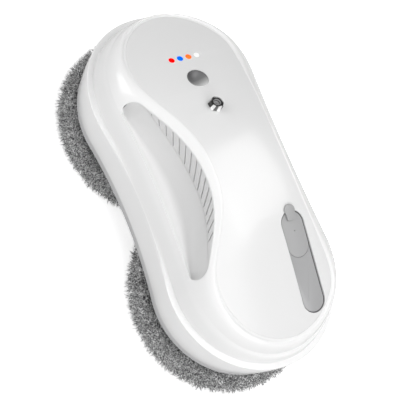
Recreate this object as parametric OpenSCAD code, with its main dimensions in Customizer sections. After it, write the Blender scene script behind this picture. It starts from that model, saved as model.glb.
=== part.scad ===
/* [Casing] */
// Distance between the two wheel centres
wheel_gap = 139.7; // [136:0.1:146]
// Height of the casing's lower rim over the glass
rim_z = 27.5; // [26:0.5:30]
// Radius of the rim round each wheel centre
rim_r = 65.1; // [64:0.1:66.5]
// Half width of the rim at the waist
rim_waist = 59.5; // [57:0.1:61]
// How far the lower wall flares out between the rim and the ledge
flare = 2.6; // [1:0.1:4]
// Height of the ledge over the rim
ledge_h = 36; // [34:0.5:40]
// Depth of the ledge at the two ends
ledge_w = 3.2; // [2:0.1:4]
// Radius of the shoulder line round each wheel centre
shoulder_r = 58.8; // [57.5:0.1:60]
// Half width of the shoulder line at the waist
shoulder_waist = 55; // [54:0.1:56]
// Height of the shoulder line over the rim, along the sides
shoulder_h = 55; // [52:0.5:57]
// How much lower the shoulder line is at the two tips
shoulder_drop = 10; // [4:0.5:12]
// How far the flanks over the shoulder bulge out
flank_bulge = 3.4; // [1:0.1:5]
// Wall of the casing
wall = 2.6; // [2:0.1:3]
// Height of the grey band of the base under the white casing
band_h = 3.4; // [2:0.1:5]
// How far the white casing stands out over that band
band_inset = 0.7; // [0.4:0.1:1.2]

/* [Top face] */
// Height over the rim where the two slopes of the top would meet
ridge_h = 91.4; // [89:0.1:94]
// Place of that meeting line along the length
ridge_y = 4.9; // [0:0.1:10]
// Fall of the top towards the button end, in degrees
button_pitch = 18.3; // [17:0.1:19]
// Fall of the top towards the tank end, in degrees
tank_pitch = 15.6; // [14:0.1:17]
// How widely the ridge is rounded
crest_round = 14; // [12:0.5:16]
// Centre of the top face's round at the button end
button_face_y = 80.2; // [78:0.1:82]
// Radius of that round
button_face_r = 45.5; // [44:0.1:47]
// Centre of the top face's round at the tank end
tank_face_y = 73; // [71:0.1:75]
// Radius of that round
tank_face_r = 49.2; // [48:0.1:50.5]
// Half width of the top face at the waist, on the grip side
face_waist_grip = 24.9; // [23:0.1:27]
// Half width of the top face at the waist, on the plain side
face_waist_plain = 32.8; // [31:0.1:35]
// Thickness of the top cover
cover_t = 2.4; // [2:0.1:3]
// Width of the seat that carries the top cover
cover_seat = 4; // [3:0.1:5]
// Gap round the top cover
cover_gap = 0.15; // [0.1:0.05:0.3]
// Bevel of the top cover's edge
cover_bevel = 0.5; // [0.3:0.1:0.8]

/* [Hand grip] */
// How far the brow over the grip stands from the centre line at the waist
brow_x = 31; // [29.5:0.1:33]
// Length over which the brow runs back out to the shoulder, each way
brow_reach = 77; // [74:0.5:80]
// End of the grip towards the button
grip_top_y = 65.5; // [62:0.5:67]
// End of the grip towards the tank
grip_tank_y = 63.5; // [60:0.5:66]
// Rounding of the grip's two ends
grip_end_r = 7; // [5:0.5:9]
// Lowest height over the rim of the foot of the louvred wall
foot_h = 54.5; // [52:0.5:58]
// Where along the length that foot is lowest
foot_y = 12; // [5:0.5:15]
// How high the foot climbs to the grip's ends
foot_climb = 17; // [12:0.5:20]
// How deep the floor dips between the edge and the foot
floor_dip = 5; // [2:0.5:7]
// Thickness of the grip's floor
grip_t = 2.2; // [1.6:0.1:3]
// Thickness of the louvred wall
louvre_t = 1.8; // [1.4:0.1:2.4]
// Gap between the grip insert and the casing
grip_gap = 0.15; // [0.1:0.05:0.3]
// Number of louvre slots
slots = 15; // [9:1:17]
// Spacing of the slots along the wall
slot_pitch = 6.5; // [6:0.1:6.8]
// Width of a slot
slot_w = 1.2; // [0.8:0.1:1.6]
// Lean of the slots from upright, in degrees
slot_lean = 30; // [15:1:35]
// Solid strip over and under each slot
slot_margin = 1.6; // [1:0.1:2.5]

/* [Controls] */
// Place of the row of indicator lamps along the length
lamp_y = 85.9; // [84:0.1:88]
// Spacing of the lamps
lamp_pitch = 6.9; // [6:0.1:8]
// Radius of a lamp lens
lamp_r = 2.2; // [1.8:0.1:2.6]
// Place of the start button along the length
button_y = 66.8; // [65:0.1:69]
// Radius of the start button
button_r = 7.6; // [6.5:0.1:8.5]
// Travel of the start button
button_travel = 0.8; // [0.5:0.1:1.2]
// Radius of the hollow in the button's face
button_dish_r = 16; // [14:0.5:24]
// Place of the power socket along the length
socket_y = 42.5; // [41:0.1:45]
// Radius of the socket's bore
socket_bore_r = 1.9; // [1.5:0.1:2.4]
// Radius of the socket's barrel
socket_r = 3.8; // [3.4:0.1:4.2]
// Depth of the socket's bore
socket_depth = 10; // [8:0.5:12]
// Width of the socket nut over its flats
nut_af = 9.6; // [9:0.1:10.4]
// Height of the socket nut
nut_h = 2.6; // [2:0.1:3.2]
// Running gap of buttons and lenses in the top cover
control_gap = 0.15; // [0.1:0.05:0.3]
// Depth of the circuit board under the top face
board_drop = 9; // [8:0.5:11]
// Thickness of the circuit board
board_t = 1.6; // [1:0.1:2]
// Width of the circuit board
board_w = 52; // [44:1:58]
// Length of the circuit board
board_l = 50; // [46:1:54]

/* [Water tank] */
// How far the tank window is from the centre line
window_x = 20.8; // [19:0.1:22]
// Half width of the tank window
window_r = 9.35; // [8.5:0.05:10]
// End of the tank window nearest the ridge
window_near = 42; // [41:0.1:45]
// End of the tank window nearest the tip
window_far = 112; // [108:0.1:113]
// End of the filler plug inside the window
plug_end = 74.6; // [70:0.1:78]
// How far the plug's pull tab reaches over the casing
tab_reach = 4.3; // [3:0.1:6]
// Width of the pull tab
tab_w = 8.5; // [6:0.1:10]
// Thickness of the filler plug and its tab
plug_t = 1.4; // [1:0.1:2]
// Radius of the filler hole in the tank
filler_r = 5.5; // [4.5:0.1:6]
// Length of the plug's stem
plug_stem = 4; // [3:0.1:5]
// Thickness of the window pane
pane_t = 1.2; // [1:0.1:1.6]
// How far the pane and the plug lie under the top face
pane_sink = 0.5; // [0.3:0.1:0.8]
// Width of the tank
tank_w = 30; // [26:0.5:31]
// Depth of the tank
tank_depth = 17; // [14:0.5:19]
// Wall of the tank
tank_wall = 1.5; // [1.2:0.1:2]

/* [Wheels and pads] */
// Thickness of a mop pad
pad_t = 16; // [15:0.5:17]
// Gap left between the two pads
pad_gap = 0.5; // [0.3:0.1:1]
// Rounding of the pad's edge
pad_round = 5; // [3:0.5:6]
// Radius of the hole in a pad
pad_hole_r = 31; // [29:0.5:34]
// Radius of the wheel disc that carries the pad
disc_r = 65.5; // [63:0.1:66.5]
// Height of the wheel disc over the glass
disc_z = 7; // [6:0.1:8]
// Thickness of the wheel disc
disc_t = 4.5; // [4:0.1:5.5]
// Radius up to which the pad wraps over the disc
wrap_r = 54; // [50:0.5:58]
// Radius of the air passage through a wheel
port_r = 21; // [19:0.1:22]
// Wall of the wheel's hub
hub_wall = 4; // [3:0.1:5]
// Height of the hub's top over the glass
hub_top = 41; // [40:0.5:42]
// Height of the base's belly over the glass
belly_z = 19.5; // [18.5:0.1:20.5]
// How far the belly lies inside the rim
belly_inset = 4.5; // [3:0.1:6]
// Wall of the base
base_wall = 2.4; // [2:0.1:3]
// Radial thickness of the hub bearing
bearing_t = 4; // [3:0.1:5]
// Running clearance of the bearing
bearing_fit = 0.05; // [0.03:0.01:0.08]

/* [Drive] */
// Tooth module of the wheel gears
tooth_module = 1.5; // [1.45:0.01:1.55]
// Teeth of a wheel gear
gear_teeth = 50; // [48:1:50]
// Teeth of a drive pinion
pinion_teeth = 15; // [14:1:15]
// Width of the gear teeth
gear_w = 8; // [6:0.5:9]
// Height of the gears over the glass
gear_z = 30.5; // [30:0.1:32]
// Play between the teeth, along the pitch line
tooth_play = 0.3; // [0.2:0.05:0.4]
// Bearing of a drive pinion seen from its wheel, from the waist towards the side, in degrees
pinion_turn = 44; // [40:1:48]
// Radius of a gear motor
motor_r = 12; // [10:0.5:12.5]
// Length of a gear motor
motor_l = 28; // [24:1:32]
// Radius of a drive shaft
shaft_r = 2; // [1.5:0.1:2.5]
// Running clearance of a shaft
shaft_fit = 0.05; // [0.03:0.01:0.08]
// Thickness of a motor bracket
bracket_t = 2; // [1.6:0.1:3]

/* [Suction] */
// Half width of the air duct between the wheels
duct_w = 16; // [14:0.5:18]
// Radius of the duct's round ends
duct_r = 25; // [24:0.5:27]
// Depth of the duct
duct_h = 9; // [8:0.5:10]
// Wall of the duct
duct_wall = 1.6; // [1.2:0.1:2]
// Gap between a turning hub and the duct
duct_gap = 0.5; // [0.3:0.1:0.8]
// Outer radius of the fan housing
fan_case_r = 27; // [25:0.5:28]
// Height of the fan housing
fan_case_h = 17; // [15:0.5:19]
// Radius of the fan impeller
fan_r = 21; // [18:0.5:22]
// Blades of the impeller
fan_blades = 9; // [7:1:13]
// Radius of the fan's inlet
fan_inlet_r = 12; // [10:0.5:13]
// Gap round the impeller
fan_gap = 1; // [0.8:0.1:1.5]
// Radius of the fan motor
fan_motor_r = 13; // [11:0.5:14]
// Length of the fan motor
fan_motor_l = 20; // [16:1:22]

/* [Inside] */
// Length of the battery pack
battery_l = 52; // [44:1:56]
// Width of the battery pack
battery_w = 40; // [34:1:44]
// Height of the battery pack
battery_h = 17; // [14:0.5:18]
// Radius of the spray pump
pump_r = 7; // [6:0.5:8]
// Length of the spray pump
pump_l = 26; // [22:1:30]
// Outer radius of the water hose
hose_r = 2; // [1.5:0.1:2.5]
// Outer radius of the spray nozzle
nozzle_r = 3; // [2.5:0.1:3.5]
// How far the nozzle stands out of the rim
nozzle_out = 2.4; // [1:0.1:3]
// How far the nozzle is from the centre line
nozzle_x = 9.5; // [6:0.1:12]
// Width of the power switch rocker
rocker_w = 8; // [6:0.5:9]
// Radius of the power switch rocker
rocker_r = 7.5; // [6.5:0.1:8]
// Tilt of the rocker to each side, in degrees
rocker_tilt = 10; // [8:1:12]
// Radius of a base screw's head
screw_head_r = 3; // [2.5:0.1:3.5]
// Radius of a base screw's thread
screw_r = 1.5; // [1.2:0.1:1.8]
// Length of a base screw
screw_l = 12; // [10:0.5:14]

/* [Hidden] */

// Run of a cut past the face that it opens
over = 1;
// Points down one side of the casing's outline
stations = 44;
// Points down the grip
grip_stations = 30;
// Half the distance between the wheels
wheel_y = wheel_gap / 2;
// The belly of the base and the lip that locates the casing on it
belly_r = rim_r - belly_inset;
belly_waist = rim_waist - belly_inset;
lip_gap = 0.2;
post_gap = 3;
lip_h = post_gap - 2 * lip_gap;
// Posts of the casing over the base screws, which stand in the base's bosses
post_r = screw_r * 2.4;
post_low = rim_z + band_h + post_gap;
post_top = post_low + screw_l;
screw_y = wheel_gap * 0.54;
// Wheels: outer radius of a pad, of a hub and of the bearing's seat
pad_r = wheel_y - pad_gap / 2;
hub_r = port_r + hub_wall;
bearing_seat_r = hub_r + bearing_fit + bearing_t;
// Gears: pitch radii, reach of the teeth and distance between a wheel and its pinion
pitch_r = gear_teeth * tooth_module / 2;
pinion_pitch_r = pinion_teeth * tooth_module / 2;
gear_outer_r = pitch_r + tooth_module;
mesh_gap = pitch_r + pinion_pitch_r;
pressure = 25;
flank_steps = 2;
motor_z = gear_z + gear_w + over + bracket_t;
// Duct, deck over it, fan and pump
duct_z = hub_top + duct_gap;
deck_z = duct_z + duct_h;
duct_leg_y = wheel_y - gear_outer_r - 3 * shaft_r;
fan_low = deck_z + duct_wall + fan_gap;
fan_tall = fan_case_h - 2 * duct_wall - 2 * fan_gap;
pump_x = -duct_w + duct_wall;
pump_y = -wheel_y - duct_w;
pump_z = deck_z + pump_r;
// Spray nozzle in the rim at the tank end
nozzle_y = -wheel_y - sqrt(rim_r * rim_r - nozzle_x * nozzle_x);
nozzle_z = rim_z - hose_r / 2;
// Power switch
rocker_gap = 0.3;
rocker_slot_w = rocker_w + 4 * over + lip_gap;
rocker_slot_l = 2 * (rocker_r + rocker_gap + over) + lip_gap;
switch_x = belly_waist - base_wall - rocker_r - 2 * over;
rocker_z = belly_z + rocker_r * 0.8;
// Middle and half length of the grip, and steps across its floor
grip_mid = (grip_top_y - grip_tank_y) / 2;
grip_half = (grip_top_y + grip_tank_y) / 2;
trough_steps = 7;
// Softening where the flank of the top face runs into its round ends
corner_soft = 8;
$fn = 48;

// Half width of an outline with a round of radius r about each wheel and a waist w, drawn with tangent arcs
function half_width(y, r, w) =
    let (bend = r == w ? 0 : (w * w + wheel_y * wheel_y - r * r) / (2 * (r - w)))
    let (meet = bend == 0 ? wheel_y : wheel_y * bend / (r + bend))
    abs(y) < meet
        ? w + bend - sign(bend) * sqrt(max(0, bend * bend - y * y))
        : sqrt(max(0, r * r - (abs(y) - wheel_y) * (abs(y) - wheel_y)));

// Height of the top face over the rim: two slopes joined by a round ridge
function button_slope(y) = ridge_h - tan(button_pitch) * (y - ridge_y);
function tank_slope(y) = ridge_h + tan(tank_pitch) * (y - ridge_y);
function crest(y) = -crest_round * ln(exp(-button_slope(y) / crest_round) + exp(-tank_slope(y) / crest_round));
function crest_share(y) = 1 / (1 + exp((button_slope(y) - tank_slope(y)) / crest_round));
function crest_tilt(y) = atan(tan(tank_pitch) * (1 - crest_share(y)) - tan(button_pitch) * crest_share(y));
function top_z(y) = rim_z + crest(y);

// The line between the two ends of the tank window, which the window, plug and tank lie along
window_mid = -(window_near + window_far) / 2;
window_tilt = atan((crest(-window_near) - crest(-window_far)) / (window_far - window_near));
window_l = (window_far - window_near) / cos(window_tilt);
window_z = rim_z + (crest(-window_near) + crest(-window_far)) / 2;
// Tank: top of its neck and of its box under the window; plug and pane along the window
neck_top = -pane_sink - plug_t - control_gap;
tank_top = -cover_t - 6 * control_gap;
tank_side = window_r + tank_wall;
plug_l = window_l / 2 - (-plug_end - window_mid) / cos(window_tilt);
plug_low = window_l / 2 - plug_l;
filler_at = plug_low + plug_l * 0.6;
tab_z = 2 * control_gap;
tab_t = plug_t * 0.7;
tab_half = tab_w / 2 + 2 * control_gap;
tab_root = window_r - sqrt(window_r * window_r - tab_half * tab_half);
pane_l = window_l - plug_l;
pane_mid = -window_l / 2 + pane_l / 2;
// Places of the base screws
function screw_xy(side, end) =
    [side * (half_width(screw_y, belly_r, belly_waist) - base_wall - post_r), end * screw_y];
screw_places = [for (side = [-1, 1], end = [-1, 1]) screw_xy(side, end)];

// Height of the shoulder line over the rim
function shoulder(y) =
    let (past_share = max(0, abs(y) - wheel_y) / shoulder_r)
    shoulder_h - shoulder_drop * past_share * past_share;

// A bump that is 1 at the waist and dies out at the given reach
function waist_share(y, reach) = pow(cos(90 * pow(min(1, abs(y) / reach), 1.3)), 2);

// Half width of the top face, on the grip side and on the plain side
function face_end(y) =
    y > button_face_y ? sqrt(max(0, button_face_r * button_face_r - pow(y - button_face_y, 2)))
    : y < -tank_face_y ? sqrt(max(0, tank_face_r * tank_face_r - pow(y + tank_face_y, 2)))
    : tank_face_r + (button_face_r - tank_face_r) * (y + tank_face_y) / (button_face_y + tank_face_y);
function face_grip(y) =
    let (end = face_end(y))
    end - max(0, end - face_waist_grip) * waist_share(y, y > 0 ? button_face_y : tank_face_y);
function face_plain(y) =
    let (lean_share = (shoulder_waist - face_waist_plain) / (crest(0) - shoulder_h + flank_bulge))
    let (flank = face_waist_plain + lean_share * (crest(0) - crest(y)), end = face_end(y))
    let (near_share = max(0, corner_soft - abs(flank - end)) / corner_soft)
    max(0, min(end, flank) - corner_soft / 4 * near_share * near_share * min(1, end / corner_soft));

// Plan of the grip: outer edge along the shoulder, inner edge under the brow, two round ends
function grip_round(y) =
    let (past_share = max(0, abs(y - grip_mid) - grip_half + grip_end_r) / grip_end_r)
    sqrt(max(0, 1 - past_share * past_share));
function edge_x(y) = half_width(y, shoulder_r, shoulder_waist) - grip_gap * 3;
function brow(y) = edge_x(y) - (edge_x(0) - brow_x) * waist_share(y, brow_reach) - grip_end_r / 4;
function grip_outer(y) = edge_x(y) - (edge_x(y) - brow(y)) * (1 - grip_round(y)) * 0.35;
function grip_inner(y) = brow(y) + (edge_x(y) - brow(y)) * (1 - grip_round(y)) * 0.65;

// Height over the rim of the flank between shoulder and top face, on the grip side
function flank_h(x, y) =
    let (xb = half_width(y, shoulder_r, shoulder_waist), xa = face_grip(y))
    let (in_share = max(0, min(1, (xb - x) / (xb - xa))))
    shoulder(y) + in_share * (crest(y) - shoulder(y)) + 4 * flank_bulge * in_share * (1 - in_share);
function foot(y) =
    let (far = y > foot_y ? grip_top_y - foot_y : grip_tank_y + foot_y)
    let (out_share = (y - foot_y) / far)
    min(foot_h + foot_climb * out_share * out_share, flank_h(grip_inner(y), y) - slot_margin);

// Stations along the length, close together at both tips
function station(lo, hi, k, n) = (lo + hi) / 2 + (hi - lo) / 2 * sin(180 * k / n - 90);

// A closed ring of points: up the plain side, back down the grip side
function ring(lo, hi, plain, grip, height) = [
    for (k = [0 : stations]) let (y = station(lo, hi, k, stations)) [plain(y), y, rim_z + height(y)],
    for (k = [stations - 1 : -1 : 1]) let (y = station(lo, hi, k, stations)) [-grip(y), y, rim_z + height(y)]
];
function wall_ring(r, w, h) =
    let (width = function (y) half_width(y, r, w))
    ring(-wheel_y - r, wheel_y + r, width, width, function (y) h);
function shoulder_ring(r, w, down) =
    let (width = function (y) half_width(y, r, w))
    ring(-wheel_y - r, wheel_y + r, width, width, function (y) shoulder(y) - down);
function face_ring(inset, down) =
    let (lo = -tank_face_y - tank_face_r, hi = button_face_y + button_face_r)
    let (squeeze = (hi - lo) / (hi - lo - 2 * inset))
    let (at = function (y) (lo + hi) / 2 + (y - (lo + hi) / 2) * squeeze)
    ring(lo + inset, hi - inset,
        function (y) max(0, face_plain(at(y)) - inset), function (y) max(0, face_grip(at(y)) - inset),
        function (y) crest(y) - down);
function blend_ring(low, high, up_share) = [
    for (i = [0 : len(low) - 1])
        low[i] + (high[i] - low[i]) * up_share + [0, 0, 4 * flank_bulge * up_share * (1 - up_share)]
];

// A tube of rings whose last ring joins the first
module ring_tube(rings) {
    n = len(rings[0]);
    m = len(rings);
    polyhedron(
        points = [for (r = rings) each r],
        faces = [for (j = [0 : m - 1], i = [0 : n - 1])
            let (a = j * n + i, b = j * n + (i + 1) % n)
            let (c = ((j + 1) % m) * n + (i + 1) % n, d = ((j + 1) % m) * n + i)
            each [[a, c, b], [a, d, c]]],
        convexity = 10);
}

// A stack of rings closed at both ends by strips across the width
module ring_stack(rings) {
    n = len(rings[0]);
    m = len(rings);
    top = (m - 1) * n;
    polyhedron(
        points = [for (r = rings) each r],
        faces = concat(
            [for (j = [0 : m - 2], i = [0 : n - 1])
                let (a = j * n + i, b = j * n + (i + 1) % n, c = a + n, d = b + n)
                each [[a, d, b], [a, c, d]]],
            [for (k = [0 : stations - 2]) [k, k + 1, n - k - 1]],
            [for (k = [1 : stations - 1]) [k, n - k - 1, n - k]],
            [for (k = [0 : stations - 2]) [top + k + 1, top + k, top + n - k - 1]],
            [for (k = [1 : stations - 1]) [top + n - k - 1, top + k, top + n - k]]),
        convexity = 10);
}

// A flat outline with the casing's plan
module plan(r, w) {
    polygon([for (p = wall_ring(r, w, 0)) [p[0], p[1]]]);
}

// Something set on the top face, standing square to it
module on_top(x, y) {
    translate([x, y, top_z(y)])
        rotate([crest_tilt(y), 0, 0])
            children();
}

// Something set on the line between the two ends of the tank window
module on_window() {
    translate([window_x, window_mid, window_z])
        rotate([window_tilt, 0, 0])
            children();
}

// The window's outline, narrower all round by inset, from one place to another along it
module stadium(inset, h) {
    reach = window_l / 2 - window_r;
    linear_extrude(h)
        union() {
            translate([0, reach]) circle(window_r - inset);
            translate([0, -reach]) circle(window_r - inset);
            translate([-window_r + inset, -reach]) square([2 * (window_r - inset), 2 * reach]);
        }
}

module top_shell() {
    out_r = rim_r + flare;
    out_w = rim_waist + flare / 2;
    in_r = out_r - ledge_w;
    in_w = out_w - flare / 10;
    inner_top = shoulder_ring(shoulder_r - 1.4 * wall, shoulder_waist - 1.4 * wall, wall);
    soft = wall / 2;
    color("white")
        difference() {
            union() {
                ring_tube([
                    wall_ring(rim_r, rim_waist, band_h),
                    wall_ring(rim_r + band_inset, rim_waist + band_inset, band_h + band_inset),
                    wall_ring(rim_r + flare * 0.6, rim_waist + flare * 0.4, ledge_h * 0.4),
                    wall_ring(out_r, out_w, ledge_h - soft),
                    wall_ring(out_r - soft / 4, out_w - soft / 8, ledge_h - soft / 4),
                    wall_ring(out_r - soft, out_w - soft / 8 - flare / 40, ledge_h),
                    wall_ring(in_r, in_w, ledge_h + soft / 4),
                    blend_ring(wall_ring(in_r, in_w, ledge_h), shoulder_ring(shoulder_r, shoulder_waist, 0), 0.5),
                    shoulder_ring(shoulder_r, shoulder_waist, 0),
                    blend_ring(shoulder_ring(shoulder_r, shoulder_waist, 0), face_ring(0, 0), 0.2),
                    blend_ring(shoulder_ring(shoulder_r, shoulder_waist, 0), face_ring(0, 0), 0.45),
                    blend_ring(shoulder_ring(shoulder_r, shoulder_waist, 0), face_ring(0, 0), 0.7),
                    blend_ring(shoulder_ring(shoulder_r, shoulder_waist, 0), face_ring(0, 0), 0.9),
                    face_ring(0, 0),
                    face_ring(0, cover_t),
                    face_ring(cover_seat, cover_t),
                    face_ring(cover_seat, cover_t + wall),
                    inner_top,
                    wall_ring(in_r - wall, in_w - wall, ledge_h),
                    wall_ring(in_r - wall, in_w - wall, ledge_h - wall),
                    wall_ring(out_r - wall, out_w - wall, ledge_h - 1.6 * wall),
                    wall_ring(rim_r - wall, rim_waist - wall, band_h)
                ]);
                for (p = screw_places)
                    casing_post(p);
            }
            grip_opening();
            for (p = screw_places)
                translate([p[0], p[1], post_low - over])
                    cylinder(r = screw_r, h = screw_l + over);
            on_window()
                translate([0, 0, -cover_t - 2 * wall])
                    stadium(-control_gap, cover_t + 2 * wall);
        }
}
module casing_post(p) {
    side = sign(p[0]);
    reach = half_width(p[1], rim_r, rim_waist) - abs(p[0]) - wall / 4;
    translate([p[0], p[1], post_low])
        cylinder(r = post_r, h = post_top - post_low);
    translate([side > 0 ? p[0] : p[0] - reach, p[1] - wall / 4, post_low])
        cube([reach, wall / 2, post_top - post_low]);
}
// Plan of the grip's opening in the casing
module grip_plan() {
    n = grip_stations;
    polygon([
        for (k = [0 : n]) let (y = station(-grip_tank_y, grip_top_y, k, n)) [-grip_inner(y), y],
        for (k = [n - 1 : -1 : 1]) let (y = station(-grip_tank_y, grip_top_y, k, n)) [-grip_outer(y), y]
    ]);
}
module grip_opening() {
    translate([0, 0, rim_z + shoulder_h - shoulder_drop])
        linear_extrude(ridge_h)
            grip_plan();
}

module top_cover() {
    color("whitesmoke")
        difference() {
            ring_stack([
                face_ring(cover_gap, cover_t - cover_gap),
                face_ring(cover_gap, cover_bevel),
                face_ring(cover_gap + cover_bevel, 0)
            ]);
            for (i = [-1.5 : 1.5])
                on_top(i * lamp_pitch, lamp_y)
                    translate([0, 0, -cover_t - over])
                        cylinder(r = lamp_r + control_gap, h = cover_t + 2 * over);
            on_top(0, button_y)
                translate([0, 0, -cover_t - over])
                    cylinder(r = button_r + control_gap, h = cover_t + 2 * over);
            on_top(0, socket_y)
                translate([0, 0, -cover_t - over])
                    cylinder(r = socket_r + control_gap, h = cover_t + 2 * over);
            on_window()
                translate([0, 0, -cover_t - 2 * over])
                    stadium(0, cover_t + 4 * over);
        }
}

// Cross-section of the grip insert at one place along it: floor and louvred wall, top side then under side
function grip_section(y) =
    let (xo = grip_outer(y) - grip_gap, xi = grip_inner(y) + grip_gap)
    let (deep_share = grip_round(y))
    let (zo = shoulder(y) - grip_gap * 2, zt = flank_h(xi, y) - grip_gap * 4)
    let (wall_x = xi + louvre_t)
    let (zf = min(foot(y), zt - grip_gap))
    let (floor_top = [for (i = [0 : trough_steps])
        let (s_share = i / trough_steps)
        [-xo + (xo - wall_x) * s_share, y,
            rim_z + zo + (zf - zo) * s_share - 4 * floor_dip * deep_share * s_share * (1 - s_share)]])
    concat(floor_top,
        [[-wall_x, y, rim_z + zt], [-xi, y, rim_z + zt], [-xi, y, rim_z + zf - grip_t]],
        [for (i = [trough_steps : -1 : 0]) floor_top[i] - [0, 0, grip_t]]);

module grip_insert() {
    n = grip_stations;
    sections = [for (k = [2 : n - 2]) grip_section(station(-grip_tank_y, grip_top_y, k, n))];
    m = len(sections[0]);
    last = len(sections) - 1;
    color("gainsboro")
        difference() {
            polyhedron(
                points = [for (s = sections) each s],
                faces = concat(
                    [for (j = [0 : last - 1], i = [0 : m - 1])
                        let (a = j * m + i, b = j * m + (i + 1) % m)
                        each [[a, b + m, b], [a, a + m, b + m]]],
                    [[for (i = [0 : m - 1]) i]],
                    [[for (i = [m - 1 : -1 : 0]) last * m + i]]),
                convexity = 10);
            for (i = [0 : slots - 1])
                louvre_slot(foot_y - 4 * slot_w + (i - (slots - 1) / 2) * slot_pitch);
        }
}
// One slanted slot through the louvred wall; y is where it crosses the middle of the wall
module louvre_slot(y) {
    lean_share = tan(slot_lean);
    mid = (foot(y) + flank_h(grip_inner(y), y)) / 2;
    tall = flank_h(grip_inner(y), y) - foot(y);
    y_low = y - lean_share * tall / 2;
    y_high = y + lean_share * tall / 2;
    z_low = foot(y_low) + slot_margin;
    z_high = flank_h(grip_inner(y_high), y_high) - 2 * slot_margin;
    along = slot_w / cos(slot_lean) / 2;
    if (z_high - z_low > slot_w)
        translate([-grip_inner(y) - louvre_t * 4, 0, rim_z])
            rotate([90, 0, 90])
                linear_extrude(louvre_t * 8)
                    polygon([
                        [y + lean_share * (z_low - mid) - along, z_low],
                        [y + lean_share * (z_low - mid) + along, z_low],
                        [y + lean_share * (z_high - mid) + along, z_high],
                        [y + lean_share * (z_high - mid) - along, z_high]
                    ]);
}

// The base: a tray with an undercut belly, a grey band under the white casing and a locating lip inside it
module base_shell() {
    lip_r = rim_r - wall - lip_gap;
    lip_waist = rim_waist - wall - lip_gap;
    color("darkgray")
        difference() {
            union() {
                translate([0, 0, belly_z])
                    linear_extrude(rim_z - belly_z + band_h)
                        plan(belly_r, belly_waist);
                translate([0, 0, rim_z])
                    linear_extrude(band_h)
                        plan(rim_r - band_inset, rim_waist - band_inset);
                translate([0, 0, rim_z])
                    linear_extrude(band_h + lip_h)
                        plan(lip_r, lip_waist);
            }
            translate([0, 0, belly_z + base_wall])
                linear_extrude(rim_z)
                    plan(belly_r - base_wall, belly_waist - base_wall);
            for (side = [-1, 1])
                translate([0, side * wheel_y, belly_z - over])
                    cylinder(r = bearing_seat_r, h = base_wall + 2 * over);
            for (p = screw_places)
                translate([p[0], p[1], belly_z - over])
                    cylinder(r = screw_r + lip_gap, h = base_wall + 2 * over);
            for (p = screw_places)
                translate([p[0], p[1], belly_z - over])
                    cylinder(r = screw_head_r + lip_gap, h = over + base_wall / 2);
            translate([switch_x - rocker_slot_w / 2, -rocker_slot_l / 2, belly_z - over])
                cube([rocker_slot_w, rocker_slot_l, base_wall + 2 * over]);
            nozzle_bore();
        }
    color("darkgray")
        for (p = screw_places)
            translate([p[0], p[1], belly_z + base_wall])
                difference() {
                    cylinder(r = post_r, h = post_low - belly_z - base_wall - lip_gap);
                    translate([0, 0, -over])
                        cylinder(r = screw_r + lip_gap, h = post_low);
                }
}

module base_screws() {
    color("dimgray")
        for (p = screw_places)
            translate([p[0], p[1], belly_z + base_wall / 2]) {
                translate([0, 0, -base_wall / 2 + lip_gap])
                    difference() {
                        cylinder(r = screw_head_r, h = base_wall / 2 - lip_gap);
                        translate([0, 0, -over])
                            cylinder(r = screw_r, h = over + base_wall / 4, $fn = 6);
                    }
                cylinder(r = screw_r - lip_gap / 2, h = post_low - belly_z + screw_l / 2);
            }
}

// Controls on the top face
module start_button() {
    stem_l = board_drop - cover_t - 2 * button_travel;
    color("gray")
        on_top(0, button_y)
            difference() {
                union() {
                    translate([0, 0, -cover_t])
                        cylinder(r = button_r, h = cover_t - pane_sink);
                    translate([0, 0, -cover_t - button_travel])
                        cylinder(r = button_r + 2 * button_travel, h = button_travel);
                    translate([0, 0, -cover_t - stem_l])
                        cylinder(r = lamp_r, h = stem_l);
                }
                translate([0, 0, button_dish_r - button_travel * 2.2])
                    sphere(r = button_dish_r, $fn = 64);
            }
}
module indicator(place, tint) {
    color(tint)
        on_top((place - 1.5) * lamp_pitch, lamp_y) {
            translate([0, 0, -board_drop + control_gap])
                cylinder(r = lamp_r, h = board_drop - 2 * control_gap);
        }
}
module indicator_red() { indicator(0, "red"); }
module indicator_blue() { indicator(1, "dodgerblue"); }
module indicator_orange() { indicator(2, "coral"); }
module indicator_white() { indicator(3, "white"); }

// The circuit board lies parallel to the top face, under the button and the lamps, with its push switch
module main_board() {
    mid_y = (button_y + lamp_y) / 2;
    color("seagreen")
        on_top(0, mid_y)
            translate([-board_w / 2, -board_l / 2, -board_drop - board_t])
                cube([board_w, board_l, board_t]);
    color("black")
        on_top(0, button_y)
            translate([-lamp_r * 1.4, -lamp_r * 1.4, -board_drop - board_t / 4])
                cube([lamp_r * 2.8, lamp_r * 2.8, board_t / 2]);
    color("white")
        for (sx = [-1, 1], sy = [-1, 1])
            on_top(sx * (board_w / 2 - 2 * lamp_r), mid_y + sy * (board_l / 2 - 2 * lamp_r))
                translate([0, 0, -board_drop - board_t / 2])
                    cylinder(r = lamp_r, h = board_drop - cover_t + board_t / 2 - control_gap);
}

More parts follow.
